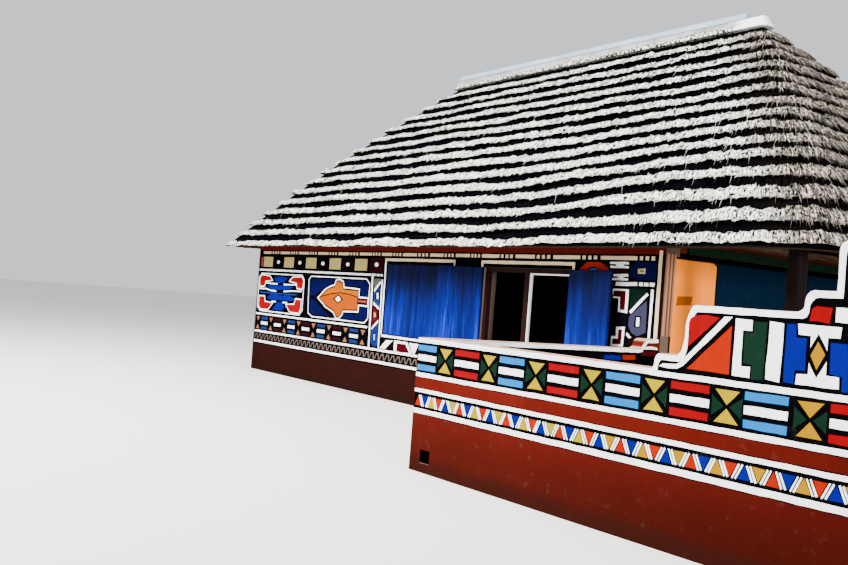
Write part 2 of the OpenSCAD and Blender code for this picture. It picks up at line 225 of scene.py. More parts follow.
BLACK = (0.0013, 0.0012, 0.0017)
SOIL, YARD_SOIL = (0.0105, 0.0044, 0.0032), (0.015, 0.0048, 0.0034)
DUST, PLAIN_PLASTER = (0.07, 0.054, 0.042), (0.11, 0.076, 0.059)
PAINTS = {
    "white": (0.88, 0.9, 0.9),
    "bone": (0.56, 0.44, 0.26),
    "cream": (0.36, 0.285, 0.105),
    "clay": (0.19, 0.072, 0.034),
    "black": BLACK,
    "red": (0.18, 0.0001, 0.003),
    "crimson": (0.042, 0.0016, 0.0034),
    "darkred": (0.0155, 0.0022, 0.003),
    "brick": (0.05, 0.0096, 0.006),
    "salmon": (0.22, 0.035, 0.022),
    "orange": (0.245, 0.008, 0.0001),
    "tangerine": (0.265, 0.043, 0.0001),
    "amber": (0.3, 0.066, 0.0002),
    "gold": (0.27, 0.135, 0.0001),
    "yellow": (0.29, 0.205, 0.0001),
    "green": (0.0036, 0.015, 0.0082),
    "darkgreen": (0.002, 0.008, 0.0054),
    "blue": (0.0009, 0.0034, 0.135),
    "skyblue": (0.0001, 0.118, 0.36),
    "lightblue": (0.007, 0.017, 0.078),
    "navy": (0.0022, 0.0022, 0.029),
    "midnight": (0.0015, 0.0017, 0.0048),
    "lilac": (0.046, 0.032, 0.12),
    "slate": (0.026, 0.025, 0.05),
    "grey": (0.07, 0.062, 0.06),
    "dun": (0.088, 0.062, 0.052),
    "umber": (0.004, 0.0024, 0.0019),
    "apricot": (0.95, 0.235, 0.006),
}


def brushed(f, colour, worn):
    """Hand painted plaster: brush marks, thin places and a little dust."""
    cloud = f.noise(2.3, 4)
    brush = f.noise(26, 3, f.stretch((1.0, 1.0, 0.35)))
    dust = f.noise(9, 5, rough=0.7).between(0.58, 0.78)
    tone = 1.0 + (cloud - 0.5) * 0.3 + (brush - 0.5) * 0.22
    colour = f.shade(colour, tone)
    colour = f.mix(dust * worn, colour, DUST)
    bumps = f.noise(14, 4) * 0.7 + f.noise(70, 2) * 0.3
    return colour, 0.55 + brush * 0.3, bumps


def paint(name):
    f = Finish("paint_" + name, 0.6, Specular_IOR_Level=0.0)
    colour, rough, bumps = brushed(f, PAINTS[name], 0.12 if name in ("white", "cream") else 0.16)
    return f.done(colour, rough, bumps, 0.004, 0.35)


def sash_finish():
    f = Finish("sash_paint", 0.45)
    colour, rough, bumps = brushed(f, (0.74, 0.73, 0.7), 0.3)
    return f.done(colour, rough - 0.15, bumps, 0.001, 0.3)


def by_height(f, height, steps):
    """Flat colours stacked by height. steps gives the top and the colour of each from the ground up."""
    colour = steps[-1][1]
    for top, below in reversed(steps[:-1]):
        colour = f.mix(height < top, colour, below)
    return colour


def splash(f, colour, soil):
    """Soil thrown up by rain on the lowest part of a wall."""
    reach = f.noise(3.0, 4) * 0.34 + f.noise(22, 2) * 0.06
    wet = (1.0 - f.axis("Z").between(0.0, 0.34) - 0.6 + reach).between(0.0, 0.6)
    return f.mix(wet * 0.7, colour, soil)


def house_wall_finish(name, steps, plain_side):
    """Painted outside and plain plaster inside. plain_side gives 1 on the faces that are left plain."""
    f = Finish(name, 0.75, Specular_IOR_Level=0.0)
    height = f.axis("Z") + (f.noise(5, 2) - 0.5) * 0.012
    colour = by_height(f, height, steps)
    colour, rough, bumps = brushed(f, colour, 0.2)
    colour = splash(f, colour, SOIL)
    colour = f.mix(plain_side(f), colour, PLAIN_PLASTER)
    return f.done(colour, rough, bumps, 0.006, 0.5)


def courtyard_finish():
    """Red plaster, darker at the foot and towards the pier, pale pink on its upward faces, with painted
    shade, near black, inside the drain hole.
    """
    f = Finish("courtyard_plaster", 0.75, Specular_IOR_Level=0.0)
    x, height = f.axis("X"), f.axis("Z")
    colour = f.mix(f.noise(1.1, 3).between(0.35, 0.7), (0.09, 0.007, 0.0046), (0.072, 0.006, 0.004))
    colour = f.mix(height.between(0.1, 0.95), (0.04, 0.0048, 0.003), colour)
    colour = f.shade(colour, 1.0 - x.between(5.6, 9.6) * 0.34)
    colour, rough, bumps = brushed(f, colour, 0.3)
    scuffs = f.noise(16, 4, rough=0.75).between(0.7, 0.8)
    colour = f.mix(scuffs * 0.35, colour, (0.13, 0.05, 0.034))
    colour = splash(f, colour, YARD_SOIL)
    coping = f.shade((0.5, 0.28, 0.2), 0.8 + f.noise(7, 4) * 0.4)
    colour = f.mix(f.upward().between(0.6, 0.9), colour, coping)
    # Painted shade: the faces inside the drain hole are near black.
    hole = ((x - DRAIN_X).size() < 0.085) * ((height - DRAIN_Z).size() < 0.07)
    colour = f.mix((f.axis("Y") > YARD_Y + 0.004) * hole, colour, (0.002, 0.0014, 0.0014))
    return f.done(colour, rough, bumps, 0.006, 0.5)


def timber(name, light, dark, along, scale, worn=None):
    """Wood with its grain along one axis, and worn places where a colour is given for them."""
    f = Finish(name, 0.6, Specular_IOR_Level=0.04)
    squeeze = f.stretch(tuple(0.08 if letter == along else 1.0 for letter in "XYZ"))
    grain = f.noise(38 * scale, 4, squeeze, 0.65, 0.4)
    broad = f.noise(6 * scale, 3, squeeze)
    colour = f.mix((grain * 0.7 + broad * 0.5).between(0.42, 0.78), dark, light)
    if worn:
        colour = f.mix(f.noise(11 * scale, 4, squeeze, 0.7).between(0.55, 0.72) * 0.6, colour, worn)
    return f.done(colour, 0.5 + grain * 0.35, grain + broad * 0.5, 0.003, 0.6)


def shutter_finish():
    """Bright blue paint on rough boards, streaked along the grain."""
    f = Finish("shutter_blue", 0.5, Specular_IOR_Level=0.03)
    squeeze = f.stretch((1.0, 1.0, 0.045))
    streak = f.noise(60, 5, squeeze, 0.7)
    broad = f.noise(9, 3, squeeze)
    low = 1.0 - f.axis("Z").between(1.15, 2.05)
    tone = (streak * 0.6 + broad * 0.5 + low * 0.22).between(0.42, 0.95)
    colour = f.ramp(tone, (0.0, (0.0012, 0.0018, 0.011)), (0.42, (0.0013, 0.0034, 0.05)),
                    (0.78, (0.0012, 0.0066, 0.14)), (1.0, (0.006, 0.028, 0.31)))
    return f.done(colour, 0.42 + streak * 0.3, streak + broad * 0.4, 0.003, 0.7)


def thatch_finish():
    """Cut grass, with painted shade in the gap under the lip of each course. UV runs along a course and up
    its face in metres, with 0 where the painted shade of the gap starts.
    """
    f = Finish("thatch_butts", 0.85, Specular_IOR_Level=0.0)
    uv = f.node("ShaderNodeUVMap", uv_map="Stalks")
    rise = f.node("ShaderNodeSeparateXYZ", {0: uv}, "Y")
    stalks = f.noise(52, 3, f.stretch((1.0, 0.2, 1.0), uv), 0.65)
    butts = f.noise(40, 3, f.stretch((1.0, 0.6, 1.0), uv), 0.65)
    strands = f.noise(30, 4, f.stretch((1.0, 0.1, 1.0), uv), 0.8)
    clumps = f.noise(4.5, 3, uv)
    edge = (f.noise(11, 4, uv) - 0.5) * 0.085 + (stalks - 0.5) * 0.085
    # gap is painted shade: the top of each course's face, under the next lip, is near black
    gap = (rise - edge).between(-0.006, 0.008)
    # The grass is darker to the left of the front and near the ridge
    old = (0.0 - f.axis("X")).between(-0.5, 3.5).high(f.axis("Z").between(3.9, 4.9))
    speck = (butts - 0.5) * 5.2 + (stalks - 0.5) * 4.6 + (clumps - 0.5) * 0.8 + 0.59 - old * 0.08
    pale = f.ramp(speck.between(0.0, 1.0), (0.0, (0.0034, 0.0028, 0.0024)),
                  (0.24, (0.012, 0.01, 0.008)), (0.38, (0.06, 0.054, 0.043)),
                  (0.5, (0.32, 0.305, 0.255)), (0.66, (0.95, 0.94, 0.87)))
    # On the end slopes the stalks show their sides, combed down, and the grass is darker and browner: partly
    # the colour of the stalks' sides and partly painted shade, most of it on the right end
    comb = (strands - 0.5) * 5.4 + (butts - 0.5) * 2.6 + 0.36
    combed_and_shaded = f.ramp(comb.between(0.0, 1.0), (0.0, (0.0016, 0.0012, 0.001)),
                    (0.32, (0.012, 0.0084, 0.006)), (0.62, (0.075, 0.056, 0.04)),
                    (1.0, (0.62, 0.54, 0.43)))
    across = f.axis("X") - f.axis("Y").size()
    end_slope = across.between(3.35, 4.15) + (1.0 - f.axis("X").between(-5.2, -3.4)) * 0.25
    # The colour of the painted shade in the gap, a little lighter on the end slopes
    gap_shade_colour = f.shade((0.0012, 0.0012, 0.0018), 0.4 + stalks * 1.2)
    gap_shade_colour = f.mix(end_slope.low(0.5), gap_shade_colour, (0.0045, 0.0033, 0.0026))
    colour = f.mix(gap, f.mix(end_slope.low(0.92), pale, combed_and_shaded), gap_shade_colour)
    return f.done(colour, None, stalks * 0.9 + butts * 0.3 + clumps * 0.4, 0.012, 0.9)


def thatch_under_finish():
    """The grass seen from below, brown with age, with painted shade, near black, on its upward faces, which
    back the gaps of the courses.
    """
    f = Finish("thatch_underside", 0.9, Specular_IOR_Level=0.0)
    stalks = f.noise(70, 4, f.stretch((1.0, 1.0, 0.25)), 0.7)
    colour = f.ramp(stalks, (0.25, (0.009, 0.0056, 0.0038)), (0.55, (0.036, 0.022, 0.013)),
                    (0.8, (0.095, 0.064, 0.039)))
    # Painted shade: the faces that look up, seen only in the gaps between courses, are near black.
    colour = f.mix(f.upward().between(0.1, 0.4), colour, (0.0018, 0.0018, 0.0028))
    return f.done(colour, None, stalks, 0.008, 0.8)


def cap_finish():
    """Grey mortar along the ridge over grass, whitewashed at the veranda end."""
    f = Finish("ridge_mortar", 0.8, Specular_IOR_Level=0.0)
    stain = f.noise(3.2, 5, rough=0.7)
    grey = f.ramp(stain, (0.25, (0.1, 0.1, 0.105)), (0.5, (0.24, 0.245, 0.25)), (0.8, (0.46, 0.47, 0.48)))
    grass = f.ramp(f.noise(34, 3, f.stretch((1.0, 1.0, 0.35)), 0.65), (0.4, (0.005, 0.0045, 0.004)),
                   (0.49, (0.06, 0.055, 0.046)), (0.58, (0.86, 0.84, 0.76)))
    colour = f.mix((f.axis("Z") + (stain - 0.5) * 0.05).between(5.65, 5.662), grass, grey)
    whitewash = f.shade((0.84, 0.86, 0.88), 0.75 + stain * 0.4)
    colour = f.mix((f.axis("X") + stain * 0.3).between(3.9, 4.15), colour, whitewash)
    return f.done(colour, 0.6 + stain * 0.3, f.noise(18, 4) + stain, 0.012, 0.6)


def strip_finish():
    """The pale metal strip on the ridge, with a painted shadow line along its foot."""
    f = Finish("ridge_metal", 0.45)
    stain = f.noise(2.4, 4, f.stretch((0.4, 1.0, 1.0)))
    colour = f.ramp(stain, (0.3, (0.15, 0.22, 0.29)), (0.7, (0.34, 0.45, 0.55)))
    # A painted shadow line, near black, along the foot of the strip.
    colour = f.mix(f.axis("Z").between(5.733, 5.752), (0.008, 0.01, 0.013), colour)
    return f.done(colour, 0.35 + stain * 0.3, f.noise(30, 2), 0.002, 0.3)


def concrete(name, light, dark):
    f = Finish(name, 0.8, Specular_IOR_Level=0.15)
    wear = f.noise(1.7, 5, rough=0.65)
    colour = f.mix(wear.between(0.35, 0.65), dark, light)
    colour = f.mix(f.noise(60, 2).between(0.6, 0.7) * 0.35, colour, (0.33, 0.3, 0.27))
    return f.done(colour, 0.55 + wear * 0.35, f.noise(24, 4) + wear * 0.5, 0.003, 0.4)


# Making pieces


def choose(pieces):
    bpy.ops.object.select_all(action="DESELECT")
    for piece in pieces:
        piece.select_set(True)
    bpy.context.view_layer.objects.active = pieces[0]


def choose_all():
    """Goes into edit mode with all of the piece chosen."""
    bpy.ops.object.mode_set(mode="EDIT")
    bpy.ops.mesh.select_all(action="SELECT")


def recolour(piece, finish):
    piece.data.materials.clear()
    piece.data.materials.append(finish)


def block(low, high, bevel=0.003):
    """A squared timber between two corners, with eased edges."""
    bpy.ops.object.select_all(action="DESELECT")
    middle = [(a + b) / 2 for a, b in zip(low, high)]
    bpy.ops.mesh.primitive_cube_add(size=1, location=middle, scale=[b - a for a, b in zip(low, high)])
    piece = bpy.context.object
    bpy.ops.object.transform_apply(location=True, rotation=True, scale=True)
    choose_all()
    bpy.ops.mesh.bevel(offset=bevel, segments=2, affect="EDGES")
    bpy.ops.object.mode_set(mode="OBJECT")
    return piece


def join(pieces):
    choose(pieces)
    bpy.ops.object.join()
    return bpy.context.object


def hand_in(piece, name, slot, *stands_for):
    piece.name = name
    piece.data.name = name
    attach(piece, BODY)
    if stands_for:
        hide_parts(*stands_for)


def dress(finish, *names):
    """Gives a finish to nodes that stay."""
    for name in names:
        node = nodes[name]
        for slot in node.material_slots:
            slot.material = finish
        if not node.material_slots:
            node.data.materials.append(finish)


# Painted patterns

# How thick a coat of paint is, and how far apart and how far off their line the brush's points lie
COAT, BRUSH_STEP, BRUSH_SHAKE = 0.0003, 0.09, 0.0022
ALONG_X, BACK_X = (1, 0, 0), (-1, 0, 0)
ALONG_Y, BACK_Y = (0, 1, 0), (0, -1, 0)
painted = {}


def pot(colour):
    if colour not in painted:
        painted[colour] = paint(colour)
    return painted[colour]


def by_hand(points, rng):
    """The outline with points every step or so, each a little off its line, as a brush leaves it."""
    out = []
    for (u0, v0), (u1, v1) in zip(points, points[1:] + points[:1]):
        count = max(1, round(math.hypot(u1 - u0, v1 - v0) / BRUSH_STEP))
        for i in range(count):
            t = i / count
            off_u, off_v = (rng.uniform(-BRUSH_SHAKE, BRUSH_SHAKE) for _ in range(2))
            out.append((u0 + (u1 - u0) * t + off_u, v0 + (v1 - v0) * t + off_v))
    return out


def coats(shapes):
    """How many coats lie under each shape, from the order in which they are painted."""
    boxes, levels = [], []
    for _, points in shapes:
        us, vs = zip(*points)
        u0, v0, u1, v1 = min(us), min(vs), max(us), max(vs)
        under = [level for level, b in zip(levels, boxes)
                 if b[0] < u1 and u0 < b[2] and b[1] < v1 and v0 < b[3]]
        boxes.append((u0, v0, u1, v1))
        levels.append(1 + max(under, default=0))
    return levels


def paint_wall(name, shapes, origin, along, slot, seed):
    """Paints (colour, outline) shapes, each over those before it. u runs along, v is the height."""
    rng = np.random.RandomState(seed)
    pieces = []
    for (colour, points), level in zip(shapes, coats(shapes)):
        data = bpy.data.curves.new(name, "CURVE")
        data.dimensions = "2D"
        data.fill_mode = "BOTH"
        data.extrude = (level + 1) * COAT / 2
        outline = by_hand(list(points), rng)
        line = data.splines.new("POLY")
        line.points.add(len(outline) - 1)
        for point, (u, v) in zip(line.points, outline):
            point.co = (u, v, (level - 1) * COAT / 2, 1)
        line.use_cyclic_u = True
        data.materials.append(pot(colour))
        piece = bpy.data.objects.new(name, data)
        piece.location = (0, 0, (level - 1) * COAT / 2)
        bpy.context.scene.collection.objects.link(piece)
        pieces.append(piece)
    choose(pieces)
    bpy.ops.object.convert(target="MESH")
    choose_all()
    bpy.ops.mesh.remove_doubles(threshold=0.00005)
    bpy.ops.mesh.normals_make_consistent(inside=False)
    bpy.ops.object.mode_set(mode="OBJECT")
    piece = join(pieces)
    bpy.ops.object.transform_apply(location=True, rotation=True, scale=True)
    u, up = Vector(along), Vector((0, 0, 1))
    turn = Matrix((u, up, u.cross(up))).transposed().to_4x4()
    piece.data.transform(Matrix.Translation(Vector(origin)) @ turn)
    hand_in(piece, name, slot)


def rect(u0, v0, u1, v1):
    return [(u0, v0), (u1, v0), (u1, v1), (u0, v1)]


def round_spot(u, v, ru, rv):
    turns = [2 * math.pi * i / 14 for i in range(14)]
    return [(u + ru * math.cos(a), v + rv * math.sin(a)) for a in turns]


def stroke(points, width):
    """A brush line of even width through the points."""
    left, right = [], []
    for i, (u, v) in enumerate(points):
        before, after = points[max(i - 1, 0)], points[min(i + 1, len(points) - 1)]
        ins = Vector((u - before[0], v - before[1]))
        outs = Vector((after[0] - u, after[1] - v))
        ins = ins.normalized() if ins.length else outs.normalized()
        outs = outs.normalized() if outs.length else ins
        mid = (ins + outs).normalized()
        side = Vector((-mid.y, mid.x)) * (width / 2 / max(mid.dot(ins), 0.5))
        left.append((u + side.x, v + side.y))
        right.append((u - side.x, v - side.y))
    return left + right[::-1]


def mirrored(shapes, about=0.0):
    return [(colour, [(2 * about - u, v) for u, v in reversed(points)]) for colour, points in shapes]


def grow(points, by):
    """The outline moved outward all round."""
    count = len(points)
    area = sum(points[i - 1][0] * points[i][1] - points[i][0] * points[i - 1][1] for i in range(count))
    out = []
    for i in range(count):
        before, here, after = Vector(points[i - 1]), Vector(points[i]), Vector(points[(i + 1) % count])
        ins, outs = (here - before).normalized(), (after - here).normalized()
        mid = (ins + outs).normalized()
        side = Vector((mid.y, -mid.x)) * (by / max(mid.dot(ins), 0.5)) * (1 if area > 0 else -1)
        out.append((here.x + side.x, here.y + side.y))
    return out


def edged(colour, points, width=0.02, edge="white"):
    """A shape with a line round it."""
    return [(edge, grow(points, width)), (colour, points)]


def moved(shapes, du):
    return [(colour, [(u + du, v) for u, v in points]) for colour, points in shapes]


def hourglass(u0, u1, v0, v1, colour, waist, sides=None):
    """Two triangles point to point, with dark or coloured ones between them."""
    um, vm = (u0 + u1) / 2, (v0 + v1) / 2
    du, dv = 0.05 * (u1 - u0), waist * (v1 - v0)
    shapes = [(colour, [(u0 + 2 * du, v1), (u1 - 2 * du, v1), (um, vm + dv)]),
              (colour, [(u0 + 2 * du, v0), (u1 - 2 * du, v0), (um, vm - dv)])]
    if sides:
        shapes += [(sides, [(u0, v1 - 3 * dv), (um - 2 * du, vm), (u0, v0 + 3 * dv)]),
                   (sides, [(u1, v1 - 3 * dv), (um + 2 * du, vm), (u1, v0 + 3 * dv)])]
    return shapes


def three_bars(u0, u1, v0, v1, colour, share):
    """Two bars of the colour with a white one between them, each this share of the height."""
    h = (v1 - v0) / share
    return [(colour, rect(u0, v1 - h, u1, v1)), ("white", rect(u0, (v0 + v1 - h) / 2, u1, (v0 + v1 + h) / 2)),
            (colour, rect(u0, v0, u1, v0 + h))]


# The pattern of the house front

# Foot and top of each band that runs round the house
LOW_LINE, TEETH, HIGH_LINE = (0.527, 0.569), (0.604, 0.68), (0.721, 0.756)
CELLS, UNDER_PANEL, OVER_PANEL = (0.785, 1.018), (1.058, 1.088), (1.902, 1.936)
FRIEZE, DASHES = (1.98, 2.17), (2.229, 2.274)
CELL_COLOURS = ("lightblue", "darkred")
FRIEZE_PITCH, FRIEZE_SQUARE, TOOTH_PITCH = 0.845, 0.38, 0.15

# Outlines as points, each its place along the wall and its height
RED_BLUE_PANEL = edged("black", [(-5.03, 1.76), (-4.94, 1.838), (-3.31, 1.838), (-3.225, 1.76),
                                 (-3.225, 1.22), (-3.31, 1.145), (-4.9, 1.145), (-5.02, 1.22)])
PANEL_QUARTERS = (
    edged("red", [(-5.007, 1.75), (-4.933, 1.815), (-4.587, 1.8), (-4.48, 1.73), (-4.753, 1.71),
                  (-4.78, 1.617), (-4.975, 1.605), (-5.0, 1.683)])
    + [("white", stroke([(-4.75, 1.675), (-4.5, 1.665), (-4.25, 1.663)], 0.022))]
    + edged("red", [(-4.97, 1.405), (-4.757, 1.41), (-4.718, 1.31), (-4.4, 1.295), (-4.573, 1.172),
                    (-4.9, 1.172), (-4.97, 1.237)])
    + [("white", stroke([(-4.44, 1.328), (-4.26, 1.33)], 0.022))])
PANEL_MIDDLE = [
    ("blue", [(-4.4, 1.77), (-4.19, 1.812), (-3.86, 1.79), (-3.97, 1.705), (-4.19, 1.672),
              (-4.32, 1.705)]),
    ("blue", [(-4.68, 1.62), (-4.48, 1.64), (-3.92, 1.64), (-3.6, 1.63), (-3.78, 1.578), (-4.32, 1.548),
              (-4.56, 1.568)]),
    ("white", stroke([(-5.0, 1.56), (-4.7, 1.558), (-4.48, 1.532), (-4.28, 1.528)], 0.024)),
    ("white", stroke([(-3.98, 1.532), (-3.7, 1.552), (-3.28, 1.562)], 0.02)),
    ("lightblue", [(-4.96, 1.5), (-4.55, 1.505), (-4.1, 1.498), (-3.45, 1.505), (-3.45, 1.478),
                   (-4.1, 1.47), (-4.96, 1.47)]),
    ("blue", [(-4.64, 1.395), (-4.48, 1.476), (-4.29, 1.484), (-4.13, 1.452), (-3.97, 1.452), (-3.84, 1.484),
              (-3.68, 1.458), (-3.52, 1.402), (-3.63, 1.368), (-4.58, 1.362)]),
    ("blue", [(-4.4, 1.18), (-4.27, 1.272), (-4.16, 1.33), (-4.03, 1.33), (-3.89, 1.245),
              (-3.98, 1.175)]),
]
ARROW_BODY = [(-2.6, 1.48), (-2.41, 1.6), (-2.25, 1.655), (-2.095, 1.685), (-2.06, 1.765),
              (-1.985, 1.785), (-1.87, 1.755), (-1.82, 1.65), (-1.345, 1.64),
              (-1.335, 1.335), (-1.8, 1.318), (-1.835, 1.245), (-1.92, 1.185), (-2.0, 1.2),
              (-2.08, 1.285), (-2.37, 1.362)]
ARROW_PANEL = (
    edged("black", [(-3.03, 1.78), (-2.96, 1.835), (-1.12, 1.838), (-1.015, 1.765), (-1.0, 1.22),
                    (-1.09, 1.145), (-2.83, 1.145), (-2.98, 1.2)], 0.018)
    + [("navy", [(-2.985, 1.765), (-2.93, 1.805), (-2.12, 1.812), (-2.2, 1.745), (-2.44, 1.66),
                 (-2.8, 1.505), (-2.975, 1.505)]),
       ("navy", [(-2.965, 1.44), (-2.8, 1.44), (-2.44, 1.262), (-2.2, 1.178), (-2.8, 1.175),
                 (-2.94, 1.215)])]
    + edged("navy", [(-1.835, 1.812), (-1.13, 1.812), (-1.04, 1.752), (-1.035, 1.56), (-1.262, 1.56),
                     (-1.285, 1.715), (-1.79, 1.718)], 0.012, "black")
    + edged("navy", [(-1.77, 1.25), (-1.285, 1.258), (-1.262, 1.39), (-1.03, 1.392), (-1.02, 1.235),
                     (-1.1, 1.172), (-1.86, 1.165)], 0.012, "black")
    + [("white", grow(ARROW_BODY, 0.046)), ("black", grow(ARROW_BODY, 0.024)), ("amber", ARROW_BODY),
       ("tangerine", [(-2.6, 1.475), (-2.23, 1.545), (-1.93, 1.575), (-1.63, 1.562), (-1.345, 1.525),
                      (-1.335, 1.335), (-1.8, 1.318), (-1.835, 1.245),
                      (-1.92, 1.185), (-2.0, 1.2), (-2.08, 1.285), (-2.37, 1.362)]),
       ("darkred", stroke([(-2.6, 1.492), (-2.23, 1.562), (-1.93, 1.592), (-1.63, 1.578),
                           (-1.345, 1.54)], 0.018)),
       ("darkred", [(-1.965, 1.562), (-1.8, 1.482), (-1.965, 1.405), (-2.135, 1.482)]),
       ("white", [(-1.965, 1.532), (-1.87, 1.482), (-1.965, 1.434), (-2.065, 1.482)]),
       ("white", rect(-1.3, 1.398, -1.01, 1.552)), ("darkred", rect(-1.345, 1.42, -1.03, 1.53)),
       ("salmon", rect(-1.33, 1.464, -1.06, 1.492))])
UPRIGHT_STRIP = [
    ("white", [(-0.962, 1.925), (-0.918, 1.925), (-0.88, 0.765), (-0.92, 0.765)]),
    ("white", [(-0.665, 1.85), (-0.635, 1.855), (-0.598, 0.77), (-0.628, 0.77)]),
    ("grey", [(-0.885, 1.86), (-0.675, 1.865), (-0.86, 1.695)]),
    ("white", [(-0.86, 1.685), (-0.695, 1.83), (-0.68, 1.795), (-0.855, 1.645)]),
    ("lightblue", [(-0.705, 1.77), (-0.675, 1.41), (-0.85, 1.49), (-0.86, 1.62)]),
    ("navy", [(-0.725, 1.685), (-0.71, 1.5), (-0.82, 1.545), (-0.815, 1.615)]),
    ("white", [(-0.77, 1.625), (-0.735, 1.645), (-0.72, 1.54), (-0.76, 1.545)]),
    ("white", [(-0.855, 1.49), (-0.68, 1.405), (-0.675, 1.365), (-0.85, 1.45)]),
    ("crimson", [(-0.85, 1.435), (-0.68, 1.35), (-0.675, 1.225), (-0.84, 1.1), (-0.855, 1.23)]),
    ("brick", [(-0.83, 1.365), (-0.72, 1.325), (-0.715, 1.24), (-0.825, 1.175)]),
    ("cream", [(-0.81, 1.325), (-0.76, 1.305), (-0.76, 1.245), (-0.805, 1.25)]),
    ("white", [(-0.675, 1.21), (-0.67, 1.17), (-0.845, 1.045), (-0.845, 1.08)]),
    ("lightblue", [(-0.67, 1.145), (-0.63, 0.825), (-0.68, 0.785), (-0.77, 0.79), (-0.845, 0.835),
                   (-0.85, 1.015)]),
    ("blue", [(-0.7, 1.04), (-0.675, 0.845), (-0.77, 0.845), (-0.8, 0.915), (-0.785, 1.0)]),
    ("cream", [(-0.73, 0.98), (-0.725, 0.885), (-0.76, 0.885), (-0.77, 0.97)]),
]
UNDER_WINDOW = [
    ("white", [(-0.405, 0.91), (-0.21, 0.92), (-0.415, 0.775), (-0.575, 0.775)]),
    ("white", [(-0.175, 0.925), (0.185, 0.925), (0.32, 0.76), (-0.12, 0.765), (-0.175, 0.77)]),
    ("black", [(-0.095, 0.885), (0.14, 0.89), (0.255, 0.765), (-0.095, 0.765)]),
    ("crimson", [(-0.085, 0.87), (0.12, 0.875), (0.215, 0.768), (-0.08, 0.77)]),
    ("white", [(0.235, 0.92), (0.485, 0.92), (0.395, 0.77), (0.335, 0.775)]),
]
RIGHT_PANEL = [
    ("orange", [(3.76, 2.115), (3.88, 2.2), (4.09, 2.2), (4.24, 2.13), (4.235, 2.09), (3.78, 2.09)]),
    ("black", [(3.9, 2.09), (3.925, 2.135), (4.035, 2.135), (4.09, 2.09)]),
    ("skyblue", [(3.94, 2.12), (4.04, 2.12), (4.06, 2.095), (3.92, 2.09)]),
    ("white", [(4.26, 2.205), (4.555, 2.205), (4.56, 2.18), (4.475, 2.18), (4.475, 2.158), (4.56, 2.158),
               (4.56, 2.133), (4.265, 2.133), (4.265, 2.158), (4.355, 2.158), (4.355, 2.18), (4.26, 2.18)]),
    ("darkred", [(4.295, 2.122), (4.555, 2.122), (4.56, 2.072), (4.315, 2.072)]),
    ("white", [(4.325, 2.06), (4.555, 2.065), (4.56, 2.035), (4.48, 2.035), (4.48, 2.018), (4.56, 2.015),
               (4.56, 1.992), (4.31, 1.99), (4.305, 2.012), (4.4, 2.018), (4.4, 2.035), (4.33, 2.035)]),
    ("navy", [(4.665, 2.21), (4.975, 2.205), (4.985, 2.01), (4.7, 2.0), (4.585, 2.055), (4.595, 2.145)]),
    ("cream", [(4.7, 2.13), (4.815, 2.135), (4.815, 2.075), (4.705, 2.075)]),
    ("grey", [(4.735, 2.115), (4.79, 2.115), (4.79, 2.095), (4.735, 2.095)]),
    ("white", [(4.375, 1.97), (4.705, 1.975), (4.705, 1.935), (4.365, 1.925)]),
    ("white", [(4.735, 1.975), (4.79, 1.975), (4.795, 1.935), (4.735, 1.935)]),
    ("white", [(4.81, 1.975), (4.875, 1.975), (4.875, 1.935), (4.81, 1.935)]),
    ("white", [(4.895, 1.98), (4.97, 1.975), (4.965, 1.93), (4.895, 1.935)]),
    ("white", [(4.335, 1.89), (4.585, 1.89), (4.585, 1.615), (4.44, 1.625), (4.435, 1.78), (4.345, 1.78)]),
    ("crimson", [(4.345, 1.865), (4.545, 1.87), (4.545, 1.645), (4.47, 1.65), (4.46, 1.795), (4.345, 1.8)]),
    ("midnight", [(4.41, 1.6), (4.585, 1.6), (4.565, 1.47), (4.425, 1.47)]),
    ("white", [(4.43, 1.45), (4.565, 1.455), (4.555, 1.225), (4.36, 1.22), (4.365, 1.335), (4.435, 1.34)]),
    ("crimson", [(4.47, 1.42), (4.53, 1.425), (4.525, 1.25), (4.385, 1.245), (4.385, 1.31), (4.47, 1.31)]),
    ("darkgreen", [(4.6, 1.905), (4.865, 1.9), (4.86, 1.865), (4.625, 1.675)]),
    ("white", [(4.86, 1.86), (4.89, 1.84), (4.645, 1.615), (4.615, 1.64)]),
    ("slate", [(4.865, 1.77), (4.875, 1.715), (4.885, 1.41), (4.76, 1.36), (4.675, 1.395), (4.615, 1.47),
               (4.62, 1.58)]),
    ("black", [(4.71, 1.59), (4.8, 1.595), (4.795, 1.465), (4.705, 1.46)]),
    ("white", [(4.735, 1.575), (4.78, 1.575), (4.78, 1.48), (4.735, 1.475)]),
    ("white", [(4.605, 1.395), (4.675, 1.34), (4.655, 1.32), (4.595, 1.365)]),
    ("umber", [(4.645, 1.335), (4.88, 1.37), (4.815, 1.26), (4.605, 1.245)]),
    ("white", [(4.92, 1.9), (4.96, 1.9), (4.95, 1.1), (4.925, 1.1)]),
]
LONG_BARS = [(-4.93, -4.6), (-4.22, -3.85), (-3.5, -3.12), (-2.78, -2.42), (-2.08, -1.72), (-1.38, -1.02),
             (-0.716, -0.42), (-0.118, 0.259), (0.6, 0.93), (1.233, 1.56), (1.83, 2.2), (2.54, 2.92),
             (3.27, 3.75), (4.1, 4.68)]


def band(colour, u0, u1, heights):
    """A level bar. heights is its foot and its top."""
    return colour, rect(u0, heights[0], u1, heights[1])


def dash_row(bars, end):
    """Long bars with three short ones between each two."""
    shapes = []
    for (u0, u1), (u2, _) in zip(bars, bars[1:] + [(end, end)]):
        shapes.append(band("bone", u0, u1, DASHES))
        gap = (u2 - u1) / 3.6
        shapes += [band("bone", u1 + gap * (k + 0.42), u1 + gap * (k + 0.98), DASHES) for k in range(3)]
    return shapes


